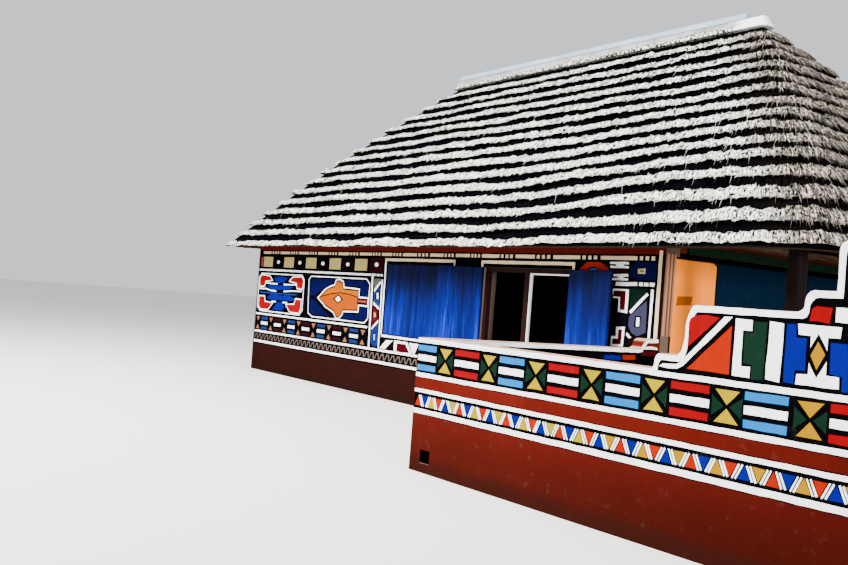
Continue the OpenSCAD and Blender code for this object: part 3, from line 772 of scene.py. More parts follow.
def frieze(start, end):
    """Cream squares and dark ones with a white spot."""
    shapes = []
    u, (v0, v1) = start, FRIEZE
    while u + FRIEZE_SQUARE < end:
        shapes.append(band("cream", u, u + FRIEZE_SQUARE, FRIEZE))
        middle = u + (FRIEZE_PITCH + FRIEZE_SQUARE) / 2
        if middle + 0.2 < end:
            colour = "umber" if round((u - start) / FRIEZE_PITCH) % 2 else "black"
            shapes.append((colour, rect(middle - 0.19, v0 - 0.01, middle + 0.19, v1 + 0.01)))
            shapes.append(("white", round_spot(middle, (v0 + v1) / 2, 0.055, 0.032)))
        u += FRIEZE_PITCH
    return shapes


def cell_row(start, end, pitch=0.548, phase=0):
    """Hourglasses and striped cells in turn."""
    shapes = []
    k, u = phase, start
    while u + 0.19 < end:
        shapes += hourglass(u, u + 0.175, *CELLS, "clay", 0.13)
        if u + 0.5 < end + 0.02:
            shapes += three_bars(u + 0.225, u + 0.49, *CELLS, CELL_COLOURS[k % 2], 4.5)
        k += 1
        u += pitch
    return shapes


def zigzag(start, end):
    """A running line of teeth, leaning forward."""
    line = []
    u, (v0, v1) = start, TEETH
    while u + TOOTH_PITCH < end:
        line += [(u + share * TOOTH_PITCH, v) for share, v in ((0, v0), (0.3, v1), (0.62, v1), (0.74, v0))]
        u += TOOTH_PITCH
    return [("dun", stroke(line[k:k + 5], 0.02)) for k in range(0, len(line) - 4, 4)]


def low_lines(start, end):
    return [band("white", start, end, HIGH_LINE), band("white", start, end, LOW_LINE),
            *zigzag(start + 0.03, end - 0.03)]


def window_lines(u0):
    """The cream line over a window and down its right side. u0 is its left side."""
    return [("bone", rect(u0 - 0.085, 2.148, u0 + 1.755, 2.19)),
            ("bone", rect(u0 + 1.715, 2.1, u0 + 1.755, 2.165))]


def lozenge(u, v0, v1):
    """A dark red shield with a white lozenge and a blue one inside it."""
    vm, tall = (v0 + v1) / 2, (v1 - v0) / 2
    low, high = vm - 0.65 * tall, vm + 0.65 * tall
    shield = [(u - 0.22, high), (u, v1), (u + 0.22, high), (u + 0.22, low), (u, v0), (u - 0.22, low)]
    return [("crimson", shield)] + [
        (colour, [(u - half, vm), (u, vm + share * tall), (u + half, vm), (u, vm - share * tall)])
        for colour, half, share in (("white", 0.16, 0.57), ("navy", 0.11, 0.39))]


def front_pattern():
    shapes = dash_row(LONG_BARS, 5.0) + frieze(-4.892, -1.03)
    shapes += [("darkred", rect(-1.045, 1.965, -0.655, 2.19)),
               ("white", round_spot(-0.85, 2.085, 0.055, 0.035)),
               ("salmon", rect(-5.0, 1.985, -4.925, 2.165)), band("white", -5.06, -1.0, OVER_PANEL)]
    shapes += [("white", rect(u0, 1.903, u1, 1.937))
               for u0, u1 in ((-0.97, -0.86), (-0.82, -0.74), (-0.71, -0.645))]
    shapes += [("grey", rect(-5.088, 0.569, -5.068, 2.28))]
    shapes += RED_BLUE_PANEL + PANEL_QUARTERS + mirrored(PANEL_QUARTERS, -4.1225) + PANEL_MIDDLE
    shapes += ARROW_PANEL + UPRIGHT_STRIP
    shapes += [band("white", -5.06, -0.99, UNDER_PANEL)] + cell_row(-5.03, -0.97) + low_lines(-5.06, 5.06)
    shapes += window_lines(-0.52)
    shapes += [("white", [(-0.598, 2.15), (-0.562, 2.15), (-0.548, 1.0), (-0.58, 1.0)])]
    shapes += window_lines(1.915)
    shapes += [("bone", rect(1.83, 2.1, 1.875, 2.165)), ("white", rect(-0.56, 0.955, 3.72, 0.99))]
    shapes += UNDER_WINDOW + mirrored(UNDER_WINDOW, 0.63)
    shapes += moved(UNDER_WINDOW, 2.42) + mirrored(UNDER_WINDOW, 1.84)
    shapes += lozenge(1.52, 1.14, 2.06) + RIGHT_PANEL
    shapes += [band("white", 3.76, 4.9, UNDER_PANEL), ("lilac", rect(3.8, 1.13, 4.3, 1.18))]
    shapes += cell_row(3.8, 4.93, 0.56, 1)
    shapes += [("bone", rect(5.005, 0.569, 5.055, 2.34)), ("darkred", rect(5.064, 0.5, 5.082, 2.35))]
    return shapes


def end_pattern(half):
    """The same bands on a wall of this half length, round two arrow panels with a lozenge between them."""
    bars = [(u, u + 0.38) for u in np.arange(-half + 0.17, half - 0.4, 0.785)]
    shapes = dash_row(bars, half - 0.05) + frieze(-half + 0.21, half - 0.1)
    shapes += [band("white", -half + 0.04, half - 0.04, heights) for heights in (OVER_PANEL, UNDER_PANEL)]
    panel = moved(ARROW_PANEL, 2.0 - half + 1.13)
    shapes += panel + mirrored(panel) + lozenge(0.0, 1.16, 1.84)
    shapes += cell_row(-half + 0.07, half - 0.05) + low_lines(-half + 0.04, half - 0.04)
    shapes += [("grey", rect(u, 0.569, u + 0.02, 2.28)) for u in (-half + 0.012, half - 0.032)]
    return shapes


VERANDA_PANEL = [
    ("umber", [(-2.5, 0.5), (-1.735, 0.5), (-1.735, 2.235), (-1.8, 2.285), (-2.5, 2.285)]),
    ("apricot", [(-2.47, 0.52), (-1.76, 0.52), (-1.76, 2.225), (-1.815, 2.265), (-2.47, 2.265)]),
    ("amber", [(-2.42, 1.74), (-2.16, 1.76), (-2.14, 1.86), (-2.4, 1.85)]),
]

# The pattern of the courtyard wall

# Where the front wall starts, its outer face, thickness and painted length, and the side wall's length
YARD_X, YARD_Y, YARD_T, YARD_L, SIDE_L = 4.94, -5.79, 0.16, 4.995, 3.15
YARD_END, WHITE_EDGE = 4.989, 0.045
# Heights of the stepped top, of the black band and of the row of triangles
YARD_STEPS = (1.238, 1.35, 1.7, 1.835, 2.14)
BAND_FOOT, BAND_TOP = 0.911, 1.188
TRIANGLES = (0.606, 0.703)
DRAIN_X, DRAIN_Z = 5.175, 0.15
CELL_SHIFT = -0.06
# What is painted in each cell of the top band, X for an hourglass, with its start and end
YARD_CELLS = [("skyblue", 0.076, 0.361), ("X", 0.391, 0.617), ("red", 0.646, 0.986), ("X", 1.018, 1.232),
              ("skyblue", 1.263, 1.578), ("X", 1.61, 1.84), ("red", 1.87, 2.21), ("X", 2.24, 2.465),
              ("skyblue", 2.497, 2.827), ("X", 2.853, 3.078), ("red", 3.11, 3.44), ("X", 3.461, 3.702),
              ("skyblue", 3.716, 4.036), ("X", 4.076, 4.299), ("red", 4.318, 4.65), ("X", 4.68, 4.9),
              ("skyblue", 4.925, 5.04)]


def yard_cells(length):
    shapes = []
    for kind, u0, u1 in YARD_CELLS:
        u0, u1 = u0 + CELL_SHIFT, min(u1 + CELL_SHIFT, length)
        if u1 - u0 < 0.08:
            break
        if kind != "X":
            shapes += three_bars(u0, u1, 0.935, 1.17, kind, 4.3)
        elif u1 - u0 > 0.19:
            shapes += hourglass(u0, u1, 0.943, 1.16, "gold" if u0 > 4.0 else "yellow", 0.06, "green")
    return shapes


def triangle_row(length):
    """Triangles point up and point down in turn, with a pair of slanting strokes between each two."""
    shapes, strokes = [], []
    pitch, half, lean = 0.1065, 0.05, 0.024
    v0, v1 = TRIANGLES
    k, u = 0, 0.071
    while u + half < length:
        base, tip, turn = (v0, v1, lean) if k % 2 == 0 else (v1, v0, -lean)
        colour = ("orange", "blue", "gold" if u > 2.4 else "yellow")[k % 3]
        shapes.append((colour, [(u - half, base), (u + half, base), (u, tip)]))
        middle = u + pitch / 2
        if middle + 0.045 < length:
            strokes += [("white", stroke([(middle + side - turn, v1), (middle + side + turn, v0)], 0.013))
                        for side in (-0.0124, 0.0124)]
        u += pitch
        k += 1
    return shapes + strokes


def yard_bands(length):
    """The bands that run level along the low wall, from the foot up, without the top one."""
    bands = [("darkred", 0.529, 0.6), ("white", 0.537, 0.581), ("black", 0.581, 0.73),
             ("darkred", 0.75, 0.772), ("white", 0.73, 0.764), ("darkred", 0.866, 0.9),
             ("white", 0.874, BAND_FOOT), ("black", BAND_FOOT, BAND_TOP)]
    return ([band(colour, 0.006, length - 0.006, heights) for colour, *heights in bands]
            + yard_cells(length - 0.03) + triangle_row(length - 0.02))


def rise(x0, z0, x1, z1):
    """A curve that leaves level, turns upright and arrives level."""
    xm, zm = x0 + 0.45 * (x1 - x0), z0 + 0.45 * (z1 - z0)
    turn = [math.pi / 2 * i / 7 for i in range(8)]
    return ([(x0 + (xm - x0) * math.sin(a), z0 + (zm - z0) * (1 - math.cos(a))) for a in turn]
            + [(xm + (x1 - xm) * (1 - math.cos(a)), zm + (z1 - zm) * math.sin(a)) for a in turn[1:]])


def yard_top(low):
    """The stepped top of the courtyard wall, moved in from its edge by low."""
    s = low * 0.75
    steps = [z - low for z in YARD_STEPS]
    line = [(0.006, steps[0])] + rise(2.85 + s, steps[0], 2.927 + s, steps[1])
    line += rise(3.078 + s, steps[1], 3.21 + s, steps[2]) + rise(3.99 + s, steps[2], 4.1 + s, steps[3])
    line += [(4.245 + low, steps[3])]
    r = 0.06 - low * 0.3
    for x, start in ((4.245 + low + r, math.pi), (YARD_END - low - r, math.pi / 2)):
        turn = [start - math.pi / 2 * i / 5 for i in range(6)]
        line += [(x + r * math.cos(a), steps[4] - r + r * math.sin(a)) for a in turn]
    return line


# The raised part and the pier, with places along the house
RAISED_PATTERN = [
    ("red", [(8.105, 1.58), (8.12, 1.61), (8.16, 1.63), (8.245, 1.64), (8.36, 1.625), (8.11, 1.41)]),
    ("white", [(8.395, 1.635), (8.46, 1.635), (8.08, 1.28), (8.03, 1.255), (7.955, 1.25), (7.87, 1.26),
               (7.905, 1.28), (8.02, 1.285), (8.055, 1.3)]),
    ("orange", [(8.46, 1.58), (8.46, 1.26), (8.115, 1.265)]),
    ("white", [(8.485, 1.63), (8.615, 1.625), (8.615, 1.555), (8.545, 1.555), (8.55, 1.325), (8.62, 1.325),
               (8.62, 1.255), (8.485, 1.26)]),
    ("green", [(8.63, 1.62), (8.725, 1.62), (8.72, 1.25), (8.63, 1.25), (8.63, 1.34), (8.565, 1.345),
               (8.56, 1.545), (8.63, 1.545)]),
    ("white", [(8.745, 1.625), (8.845, 1.62), (8.84, 1.25), (8.735, 1.26)]),
    ("blue", [(8.865, 1.62), (8.93, 1.62), (8.935, 1.54), (9.01, 1.54), (9.01, 1.34), (8.94, 1.34),
              (8.94, 1.255), (8.865, 1.26)]),
    ("white", [(8.945, 1.625), (9.235, 1.62), (9.23, 1.555), (9.15, 1.555), (9.15, 1.33), (9.235, 1.325),
               (9.24, 1.255), (8.95, 1.255), (8.955, 1.32), (9.035, 1.325), (9.035, 1.555), (8.95, 1.56)]),
    ("black", [(9.085, 1.575), (9.17, 1.445), (9.09, 1.305), (9.01, 1.435)]),
    ("gold", [(9.087, 1.525), (9.14, 1.45), (9.087, 1.355), (9.04, 1.44)]),
    ("blue", [(9.17, 1.525), (9.28, 1.525), (9.3, 1.245), (9.26, 1.245), (9.255, 1.33), (9.175, 1.34)]),
    ("red", [(9.015, 1.645), (9.03, 1.72), (9.06, 1.74), (9.165, 1.735), (9.15, 1.635), (9.07, 1.645)]),
    ("white", [(9.19, 1.735), (9.265, 1.735), (9.27, 1.645), (9.19, 1.65)]),
    ("darkgreen", [(9.3, 2.05), (9.83, 2.05), (9.83, 1.76), (9.57, 1.6), (9.3, 1.76)]),
    ("white", [(9.36, 1.98), (9.78, 1.98), (9.78, 1.8), (9.57, 1.67), (9.36, 1.8)]),
    ("black", [(9.4, 1.95), (9.74, 1.95), (9.74, 1.82), (9.57, 1.71), (9.4, 1.82)]),
    ("grey", [(9.47, 1.91), (9.67, 1.91), (9.67, 1.84), (9.57, 1.77), (9.47, 1.84)]),
    ("orange", [(9.34, 1.7), (9.53, 1.57), (9.34, 1.45)]),
    ("red", [(9.8, 1.7), (9.61, 1.57), (9.8, 1.45)]),
    ("white", [(9.57, 1.54), (9.8, 1.39), (9.8, 1.34), (9.57, 1.49), (9.34, 1.34), (9.34, 1.39)]),
    ("blue", [(9.36, 1.29), (9.57, 1.43), (9.78, 1.29)]),
]


def yard_front_pattern():
    top, inner = yard_top(0.003), yard_top(WHITE_EDGE)
    ground = [(0.006, BAND_FOOT)] + inner + [(YARD_END - WHITE_EDGE, BAND_FOOT)]
    edge = top + [(YARD_END, BAND_FOOT), (YARD_END - WHITE_EDGE, BAND_FOOT)] + inner[::-1]
    bands = yard_bands(YARD_L)
    raised = [("black", ground), ("white", edge), ("white", rect(2.86, BAND_TOP, 4.94, 1.226))]
    return bands[:7] + raised + bands[8:] + moved(RAISED_PATTERN, -YARD_X)


def inner_yard_pattern():
    """The same on the inner face, cut where the side wall and the pier end it."""
    kept = []
    for colour, points in yard_front_pattern():
        us = [u for u, _ in points]
        if min(us) > 0.17 or max(us) > 1.5:
            kept.append((colour, [(min(max(u, 0.17), 4.985), v) for u, v in points]))
    return mirrored(kept)


SIDE_WALL_PATTERN = [
    ("black", rect(-5.62, 0.92, -2.65, 1.235)),
    ("white", rect(-5.62, 1.195, -2.97, 1.235)),
    ("white", stroke([(-2.97, 1.215), (-2.92, 1.222), (-2.89, 1.27), (-2.84, 1.325), (-2.66, 1.33)], 0.036)),
    ("white", rect(-5.62, 0.88, -2.65, 0.92)),
    ("blue", [(-3.49, 1.107), (-3.22, 1.107), (-3.24, 1.156), (-3.49, 1.156)]),
    ("orange", [(-3.2, 1.11), (-3.0, 1.12), (-3.02, 1.17), (-3.22, 1.16)]),
    ("crimson", [(-2.93, 1.16), (-2.69, 1.17), (-2.69, 1.22), (-2.9, 1.21)]),
    ("white", [(-2.91, 1.235), (-2.86, 1.262), (-2.77, 1.27), (-2.68, 1.262), (-2.66, 1.235)]),
]

# The stepped thatch

ROOF_X0, ROOF_X1, ROOF_Y, EAVE_Z = -5.7, 7.4, 3.24, 2.342
PITCH = math.radians(46)
SLOPE = math.tan(PITCH)
TOP_INSET, COURSES = 3.13, 15
STEP_IN = TOP_INSET / COURSES
# How far a course runs under the next one, and how thick it is there
TUCK, UNDER = 0.0667, 0.0834
COLUMN = 0.038
EAVE_RADIUS, RIDGE_RADIUS, PLAIN_RADIUS, BELLY = 0.9, 0.08, 0.24, 0.13
DOWN_SLOPE = np.array([math.cos(PITCH), -math.sin(PITCH)])
OFF_SLOPE = np.array([math.sin(PITCH), math.cos(PITCH)])
# How far each course runs up the slope at the veranda hips, from the eaves to the ridge
HIP_KICK = (0.05, 0.06, 0.115, 0.165, 0.175, 0.16, 0.125, 0.095,
            0.08, 0.065, 0.055, 0.045, 0.04, 0.035, 0.02, 0.0)
# How much wider the painted shade of the gap is on the lowest courses in front
WIDE_GAP = {0: 0.07, 1: 0.13, 2: 0.1, 3: 0.05}
# The face of a course from under its lip round to its back: share of the way to the painted shade of the gap,
# share of the whole rise, how far it stands out, and bright (-1) or in painted shade (1)
FACE_ROWS = ((0, 0.0, -0.078, 1), (0, 0.0, -0.034, 1), (0, -0.035, -0.012, 0.6), (0, 0.015, -0.001, -1),
             (0.16, 0, 0.012, -1), (0.36, 0, 0.024, -1), (0.62, 0, 0.029, -1), (0.86, 0, 0.022, -1),
             (1.0, 0, 0.004, 0), (1.02, 0, -0.02, 1), (1.1, 0, -0.06, 1),
             (0, 0.93, -0.016, 1), (0, 1.06, -0.01, 1))
# Straws of a course: metres of course for each, the rows between which they start, lengths,
# thicknesses, how they run down the slope, how they stand off it, and how they lean sideways
LIP = (0.0102, 2.7, 4.2, (0.022, 0.058), (0.0038, 0.0078), 1, (-0.15, 0.35), 0.5)
FACE = (0.0083, 3.6, 7.8, (0.022, 0.055), (0.0035, 0.007), 1, (0.05, 0.6), 0.55)
CREST = (0.022, 7.0, 8.3, (0.014, 0.034), (0.0035, 0.007), -0.5, (0.2, 0.9), 0.6)
LOOSE = (1.1, 2.8, 3.8, (0.05, 0.15), (0.0012, 0.002), 1, (-0.7, -0.1), 0.25)
COMBED = (0.045, 2.8, 5.6, (0.06, 0.14), (0.0022, 0.0044), 1, (-0.22, 0.12), 0.16)


def corner_radius(inset, depth):
    return EAVE_RADIUS + (RIDGE_RADIUS - EAVE_RADIUS) * (inset - depth) / TOP_INSET - depth


def swell(inset):
    return BELLY * np.sin(np.pi * np.clip(inset / TOP_INSET, 0, 1))


class Ring:
    """The columns of one course, in order round the roof."""

    def __init__(self, inset):
        r = corner_radius(inset, 0)
        flat = inset - swell(inset)
        radius = [self.left(r), r, r, self.left(r)]
        across = [ROOF_X1 - ROOF_X0 - 2 * flat - radius[0] - r, 2 * (ROOF_Y - flat - r)] * 2
        across[3] = 2 * (ROOF_Y - flat - radius[0])
        parts, lengths = [], []
        for k in range(4):
            turn = max(3, round(radius[k] * math.pi / 2 / COLUMN))
            count = max(4, round(across[k] / COLUMN))
            parts += [(0, k, i / turn) for i in range(turn)] + [(1, k, i / count) for i in range(count)]
            lengths += [radius[k] * math.pi / 2 / turn] * turn + [across[k] / count] * count
        self.run = np.concatenate([[0], np.cumsum(lengths)])
        self.length = self.run[-1]
        self.side, self.k, self.t = [np.array(column) for column in zip(*parts)]
        angle = np.radians(180 + 90 * self.k + np.where(self.side == 0, 90 * self.t, 90))
        self.out = np.stack([np.cos(angle), np.sin(angle)], 1)
        self.along = np.stack([-self.out[:, 1], self.out[:, 0]], 1)

    @staticmethod
    def left(r):
        """The sharper radius of the two corners of the plain end."""
        return np.minimum(r, np.maximum(0.004, r * PLAIN_RADIUS / EAVE_RADIUS))

    def points(self, inset, radius):
        """Where the columns cross the outline. inset and radius are given for each column."""
        def start_and_end(k):
            plain = (k == 0) | (k == 3)
            r = np.where(plain, self.left(radius), radius)
            x = np.where(plain, ROOF_X0 + inset + r, ROOF_X1 - inset - r)
            y = np.where(k < 2, -ROOF_Y + inset + r, ROOF_Y - inset - r)
            return np.stack([x, y], 1), r[:, None]

        (here, r_here), (there, r_there) = start_and_end(self.k), start_and_end((self.k + 1) % 4)
        first, last = here + r_here * self.out, there + r_there * self.out
        share = np.where(self.side == 1, self.t, 0)[:, None]
        return first + (last - first) * share


def waves(run, length, rng, scales):
    """A smooth line that closes on itself, from waves of the given lengths."""
    total = np.zeros_like(run)
    for scale, height in scales:
        for _ in range(3):
            turns = max(1, round(length / (scale * rng.uniform(0.7, 1.4))))
            total += height / 1.7 * np.sin(2 * np.pi * turns * run / length + rng.uniform(0, 2 * np.pi))
    return total


def smooth(value, start, end):
    t = np.clip((value - start) / (end - start), 0, 1)
    return t * t * (3 - 2 * t)


def straws(base, way, length, thick, uv, rng):
    """Closed straws with three sides and a point. Returns points, faces and the uv of each corner."""
    count = len(base)
    helper = np.where(np.abs(way[:, 2:3]) > 0.9, np.array([[1.0, 0, 0]]), np.array([[0, 0, 1.0]]))
    a = np.cross(way, helper)
    a /= np.linalg.norm(a, axis=1, keepdims=True)
    b = np.cross(way, a)
    turn = rng.uniform(0, 2, count)[:, None] + np.array([[0, 2 * np.pi / 3, 4 * np.pi / 3]])
    round_way = a[:, None] * np.cos(turn)[:, :, None] + b[:, None] * np.sin(turn)[:, :, None]
    ring = round_way * thick[:, None, None]
    tip = base + way * length[:, None]
    points = np.concatenate([base[:, None] + ring, tip[:, None]], 1).reshape(-1, 3)
    start = np.arange(count)[:, None, None] * 4
    faces = (start + np.array([[(0, 1, 3), (1, 2, 3), (2, 0, 3), (2, 1, 0)]])).reshape(-1, 3)
    return points, faces, np.repeat(uv, 12, 0)


def course(c, rng):
    """One course of grass, from under its lip to where it runs under the next."""
    q0, q1 = c * STEP_IN, (c + 1) * STEP_IN
    ring = Ring(q0)
    run = ring.run[:-1]
    level = np.full_like(run, q0)
    first = ring.points(level - swell(q0), corner_radius(level, 0))
    near_hip = smooth(first[:, 0], 1.9, 5.6)
    kick_low, kick_high = HIP_KICK[c] * near_hip, HIP_KICK[c + 1] * near_hip
    low_q, high_q = q0 + kick_low / SLOPE, q1 + kick_high / SLOPE
    if c == COURSES - 1:
        high_q = np.full_like(run, q1)
    lower = ring.points(low_q - swell(low_q), corner_radius(low_q, 0))
    upper = ring.points(high_q + TUCK - swell(high_q), corner_radius(high_q + TUCK, TUCK))
    low_z = EAVE_Z + low_q * SLOPE
    tall = (high_q - low_q) * SLOPE
    end_slope = smooth(first[:, 0] - np.abs(first[:, 1]), 3.7, 4.4)
    wide_gap = np.exp(-((first[:, 0] - 3.2) / 1.6) ** 2) * (first[:, 1] < 0) * WIDE_GAP.get(c, 0)
    # edge is the share of each course's rise where the painted shade of the gap starts: lower, so more shade,
    # on the lowest front courses, the upper courses and to the left, and higher on the end slopes
    edge = (0.488 - wide_gap + 0.11 * end_slope - 0.05 * (c > 7) - 0.09 * smooth(-first[:, 0], -0.5, 3.0)
            + waves(run, ring.length, rng, ((2.2, 0.03), (0.7, 0.022), (0.2, 0.026))))
    sway = waves(run, ring.length, rng, ((3.0, 0.01), (0.9, 0.005), (0.25, 0.003)))
    lift = waves(run, ring.length, rng, ((2.6, 0.009), (0.8, 0.005), (0.24, 0.005), (0.11, 0.005)))
    if c == 0:
        sway -= sway.max()
    place, rise_at = [], []
    for share, extra, proud, side in FACE_ROWS:
        s = edge * share + extra
        keep = np.clip((1.0 - s) / 0.3, 0, 1)
        push = proud + sway * keep + rng.uniform(-0.004, 0.004, len(run)) * (proud > -0.05)
        if side >= 0 and s.min() > 0.2:
            push = np.maximum(push, -(UNDER - TUCK * np.minimum(s, 1)) + 0.007)
        if c == 0 and extra < 0.1 and share < 0.1:
            push = np.minimum(push, -0.001)
        flat = lower + (upper - lower) * s[:, None] + ring.out * push[:, None]
        height = low_z + s * tall + lift * keep + rng.uniform(-0.003, 0.003, len(run))
        place.append(np.column_stack([flat, height]))
        bright = side <= 0 and (share or extra)
        rise_at.append((s - edge) * tall if bright else np.full_like(run, 0.06 if side > 0 else -0.1))
    place, rise_at = np.array(place), np.array(rise_at)
    count = len(run)
    j, i = np.meshgrid(np.arange(len(FACE_ROWS)), np.arange(count), indexing="ij")
    n, above = (i + 1) % count, (j + 1) % len(FACE_ROWS)
    u0, u1 = ring.run[i], ring.run[i + 1]
    corners = ((j, i, u0), (j, n, u1), (above, n, u1), (above, i, u0))
    faces = np.stack([row * count + column for row, column, _ in corners], -1).reshape(-1, 4)
    corner_uv = np.stack([np.stack([u, rise_at[row, column]], -1) for row, column, u in corners], 2)
    shift = rng.uniform(0, 40)

    def fringe(every, low_row, high_row, long, thick, down, off, tilt, chance=None):
        number = int(ring.length / every)
        at = rng.choice(count, number, p=chance)
        row = rng.uniform(low_row, high_row, number)
        step = np.floor(row).astype(int)
        part = (row - step)[:, None]
        slide = rng.uniform(0, 1, number)[:, None]
        after = (at + 1) % count
        base = ((place[step, at] * (1 - part) + place[step + 1, at] * part) * (1 - slide)
                + (place[step, after] * (1 - part) + place[step + 1, after] * part) * slide)
        out, along = ring.out[at], ring.along[at]
        lean = rng.uniform(*off, number)[:, None]
        flow = DOWN_SLOPE * down + OFF_SLOPE * lean
        aside = along * rng.uniform(-tilt, tilt, number)[:, None]
        way = np.column_stack([out * flow[:, :1] + aside, flow[:, 1]])
        way /= np.linalg.norm(way, axis=1, keepdims=True)
        length = rng.uniform(*long, number)
        if c == 0:
            length *= 0.55
        uv = np.column_stack([ring.run[at] + rng.uniform(-3, 3, number), np.full(number, -0.5)])
        return straws(base - way * 0.008, way, length, rng.uniform(*thick, number), uv, rng)

    blades = [fringe(*kind) for kind in (LIP, FACE, CREST)]
    hip = np.exp(-((first[:, 0] - 5.6) / 0.55) ** 2) * (first[:, 1] < 0) + 0.03
    blades.append(fringe(*LOOSE, hip / hip.sum()))
    if c:
        comb = end_slope + 0.004
        blades.append(fringe(*COMBED, comb / comb.sum()))
    return place.reshape(-1, 3), faces, corner_uv.reshape(-1, 2), blades, shift


def grass_band(number, finish, rng):
    """Three courses as one piece."""
    points, quads, quad_uv, tris, tri_uv = [], [], [], [], []
    total = 0
    made = [course(c, rng) for c in range(3 * number - 3, 3 * number)]
    for place, faces, uv, _, shift in made:
        points.append(place)
        quads.append(faces + total)
        quad_uv.append(uv + (shift, 0.0))
        total += len(place)
    for _, _, _, blades, shift in made:
        for place, faces, uv in blades:
            place[:, 0] = np.clip(place[:, 0], ROOF_X0, ROOF_X1)
            place[:, 1] = np.clip(place[:, 1], -ROOF_Y, ROOF_Y)
            points.append(place)
            tris.append(faces + total)
            tri_uv.append(uv + (shift, 0.0))
            total += len(place)
    points, quads, tris = np.concatenate(points), np.concatenate(quads), np.concatenate(tris)
    mesh = bpy.data.meshes.new("grass")
    mesh.from_pydata(points.tolist(), [], quads.tolist() + tris.tolist())
    uv = mesh.uv_layers.new(name="Stalks")
    uv.data.foreach_set("uv", np.concatenate(quad_uv + tri_uv).astype(np.float32).ravel())
    mesh.polygons.foreach_set("use_smooth", np.arange(len(mesh.polygons)) < len(quads))
    mesh.materials.append(finish)
    mesh.update()
    piece = bpy.data.objects.new("grass", mesh)
    bpy.context.scene.collection.objects.link(piece)
    hand_in(piece, "thatch_grass_%d" % number, "thatch_edge", "thatch_courses_%d" % number)


def make_thatch():
    rng = np.random.RandomState(11)
    finish = thatch_finish()
    for number in range(1, 6):
        grass_band(number, finish, rng)


# Shutters, window and posts

# Width, height and thickness of one leaf, and the gap round it
LEAF_W, LEAF_H, LEAF_T, LEAF_GAP = 0.851, 1.088, 0.034, 0.006
BOARDS, BOARD_GAP, NAIL_R, NAIL_OUT, NAIL_APART = 5, 0.0012, 0.0045, 0.0015, 0.022
SILL_Z, WINDOW_W, WINDOW_X = 1.0, 1.72, (0.34, 2.76)
OPEN_TURN = math.radians(-170)
SASH_Y = (-2.59, -2.555)
POST_X, POST_Y, POST_R, POST_FOOT, POST_TOP, BARK_RINGS = 6.685, 2.525, 0.099, 0.12, 2.469, 26


def shutter_leaf(inner, rng):
    """Boards side by side with nails on the inner or the outer face. y = 0 is outside, x = 0 the hinge."""
    width = LEAF_W / BOARDS
    pieces = []
    for i in range(BOARDS):
        low = (i * width + BOARD_GAP, rng.uniform(0, 0.0025), rng.uniform(0, 0.003))
        high = ((i + 1) * width - BOARD_GAP, LEAF_T - rng.uniform(0, 0.002), LEAF_H - rng.uniform(0, 0.003))
        pieces.append(block(low, high, 0.0025))
    y = LEAF_T - NAIL_OUT if inner else NAIL_OUT
    places = [((i + 0.5) * width, y, share * LEAF_H + up)
              for share in (0.14, 0.86) for i in range(BOARDS) for up in (-NAIL_APART, NAIL_APART)]
    for place in places:
        bpy.ops.object.select_all(action="DESELECT")
        bpy.ops.mesh.primitive_uv_sphere_add(segments=8, ring_count=5, radius=NAIL_R, location=place)
        bpy.ops.object.transform_apply(location=True, rotation=True, scale=True)
        pieces.append(bpy.context.object)
    return join(pieces)


def place_leaf(leaf, matrix, flip=False):
    leaf.data.transform(matrix)
    if flip:
        leaf.data.flip_normals()
    return leaf


def make_shutters():
    rng = np.random.RandomState(5)
    finish = shutter_finish()
    foot = SILL_Z + LEAF_GAP
    half_turn = Matrix.Rotation(math.pi, 4, "Z")

    def finished(pieces, name, node):
        piece = join(pieces)
        recolour(piece, finish)
        hand_in(piece, name, "shutter_paint", node)

    def closed(x, side):
        """Both leaves of a window, on the front (side 1) or the back (side -1)."""
        pair = []
        for start in (x - WINDOW_W / 2 + LEAF_GAP, x + LEAF_GAP / 2):
            leaf = shutter_leaf(False, rng)
            matrix = Matrix.Translation((start, FRONT_Y, foot))
            if side < 0:
                matrix = Matrix.Translation((start + LEAF_W, -FRONT_Y, foot)) @ half_turn
            pair.append(place_leaf(leaf, matrix))
        return pair

    first, second = WINDOW_X
    finished(closed(first, 1), "window_1_plank_shutters", "window_1_shutters")
    finished(closed(first, -1) + closed(second, -1), "back_window_plank_shutters", "back_window_shutters")
    base = Matrix.Translation((second, FRONT_Y, foot))
    swing = Matrix.Translation((-WINDOW_W / 2, -0.0003, 0)) @ Matrix.Rotation(OPEN_TURN, 4, "Z")
    flip = Matrix.Scale(-1, 4, (1, 0, 0))
    left = place_leaf(shutter_leaf(True, rng), base @ swing)
    right = place_leaf(shutter_leaf(True, rng), base @ flip @ swing, True)
    finished([left, right], "window_2_plank_shutters", "window_2_shutters")


def make_sash():
    """The pale inner frame of the right half of the second window."""
    x0, x1 = WINDOW_X[1] + 0.04, WINDOW_X[1] + 0.8
    z0, z1 = SILL_Z + 0.06, SILL_Z + 1.04
    y0, y1 = SASH_Y
    left, right = x0 + 0.028, x1 - 0.02
    piece = join([block((x0, y0, z0), (left, y1, z1)), block((right, y0, z0), (x1, y1, z1)),
                  block((left, y0 + 0.002, z1 - 0.02), (right, y1 - 0.002, z1)),
                  block((left, y0 + 0.002, z0), (right, y1 - 0.002, z0 + 0.022))])
    recolour(piece, sash_finish())
    hand_in(piece, "window_2_inner_sash", "cream_trim")


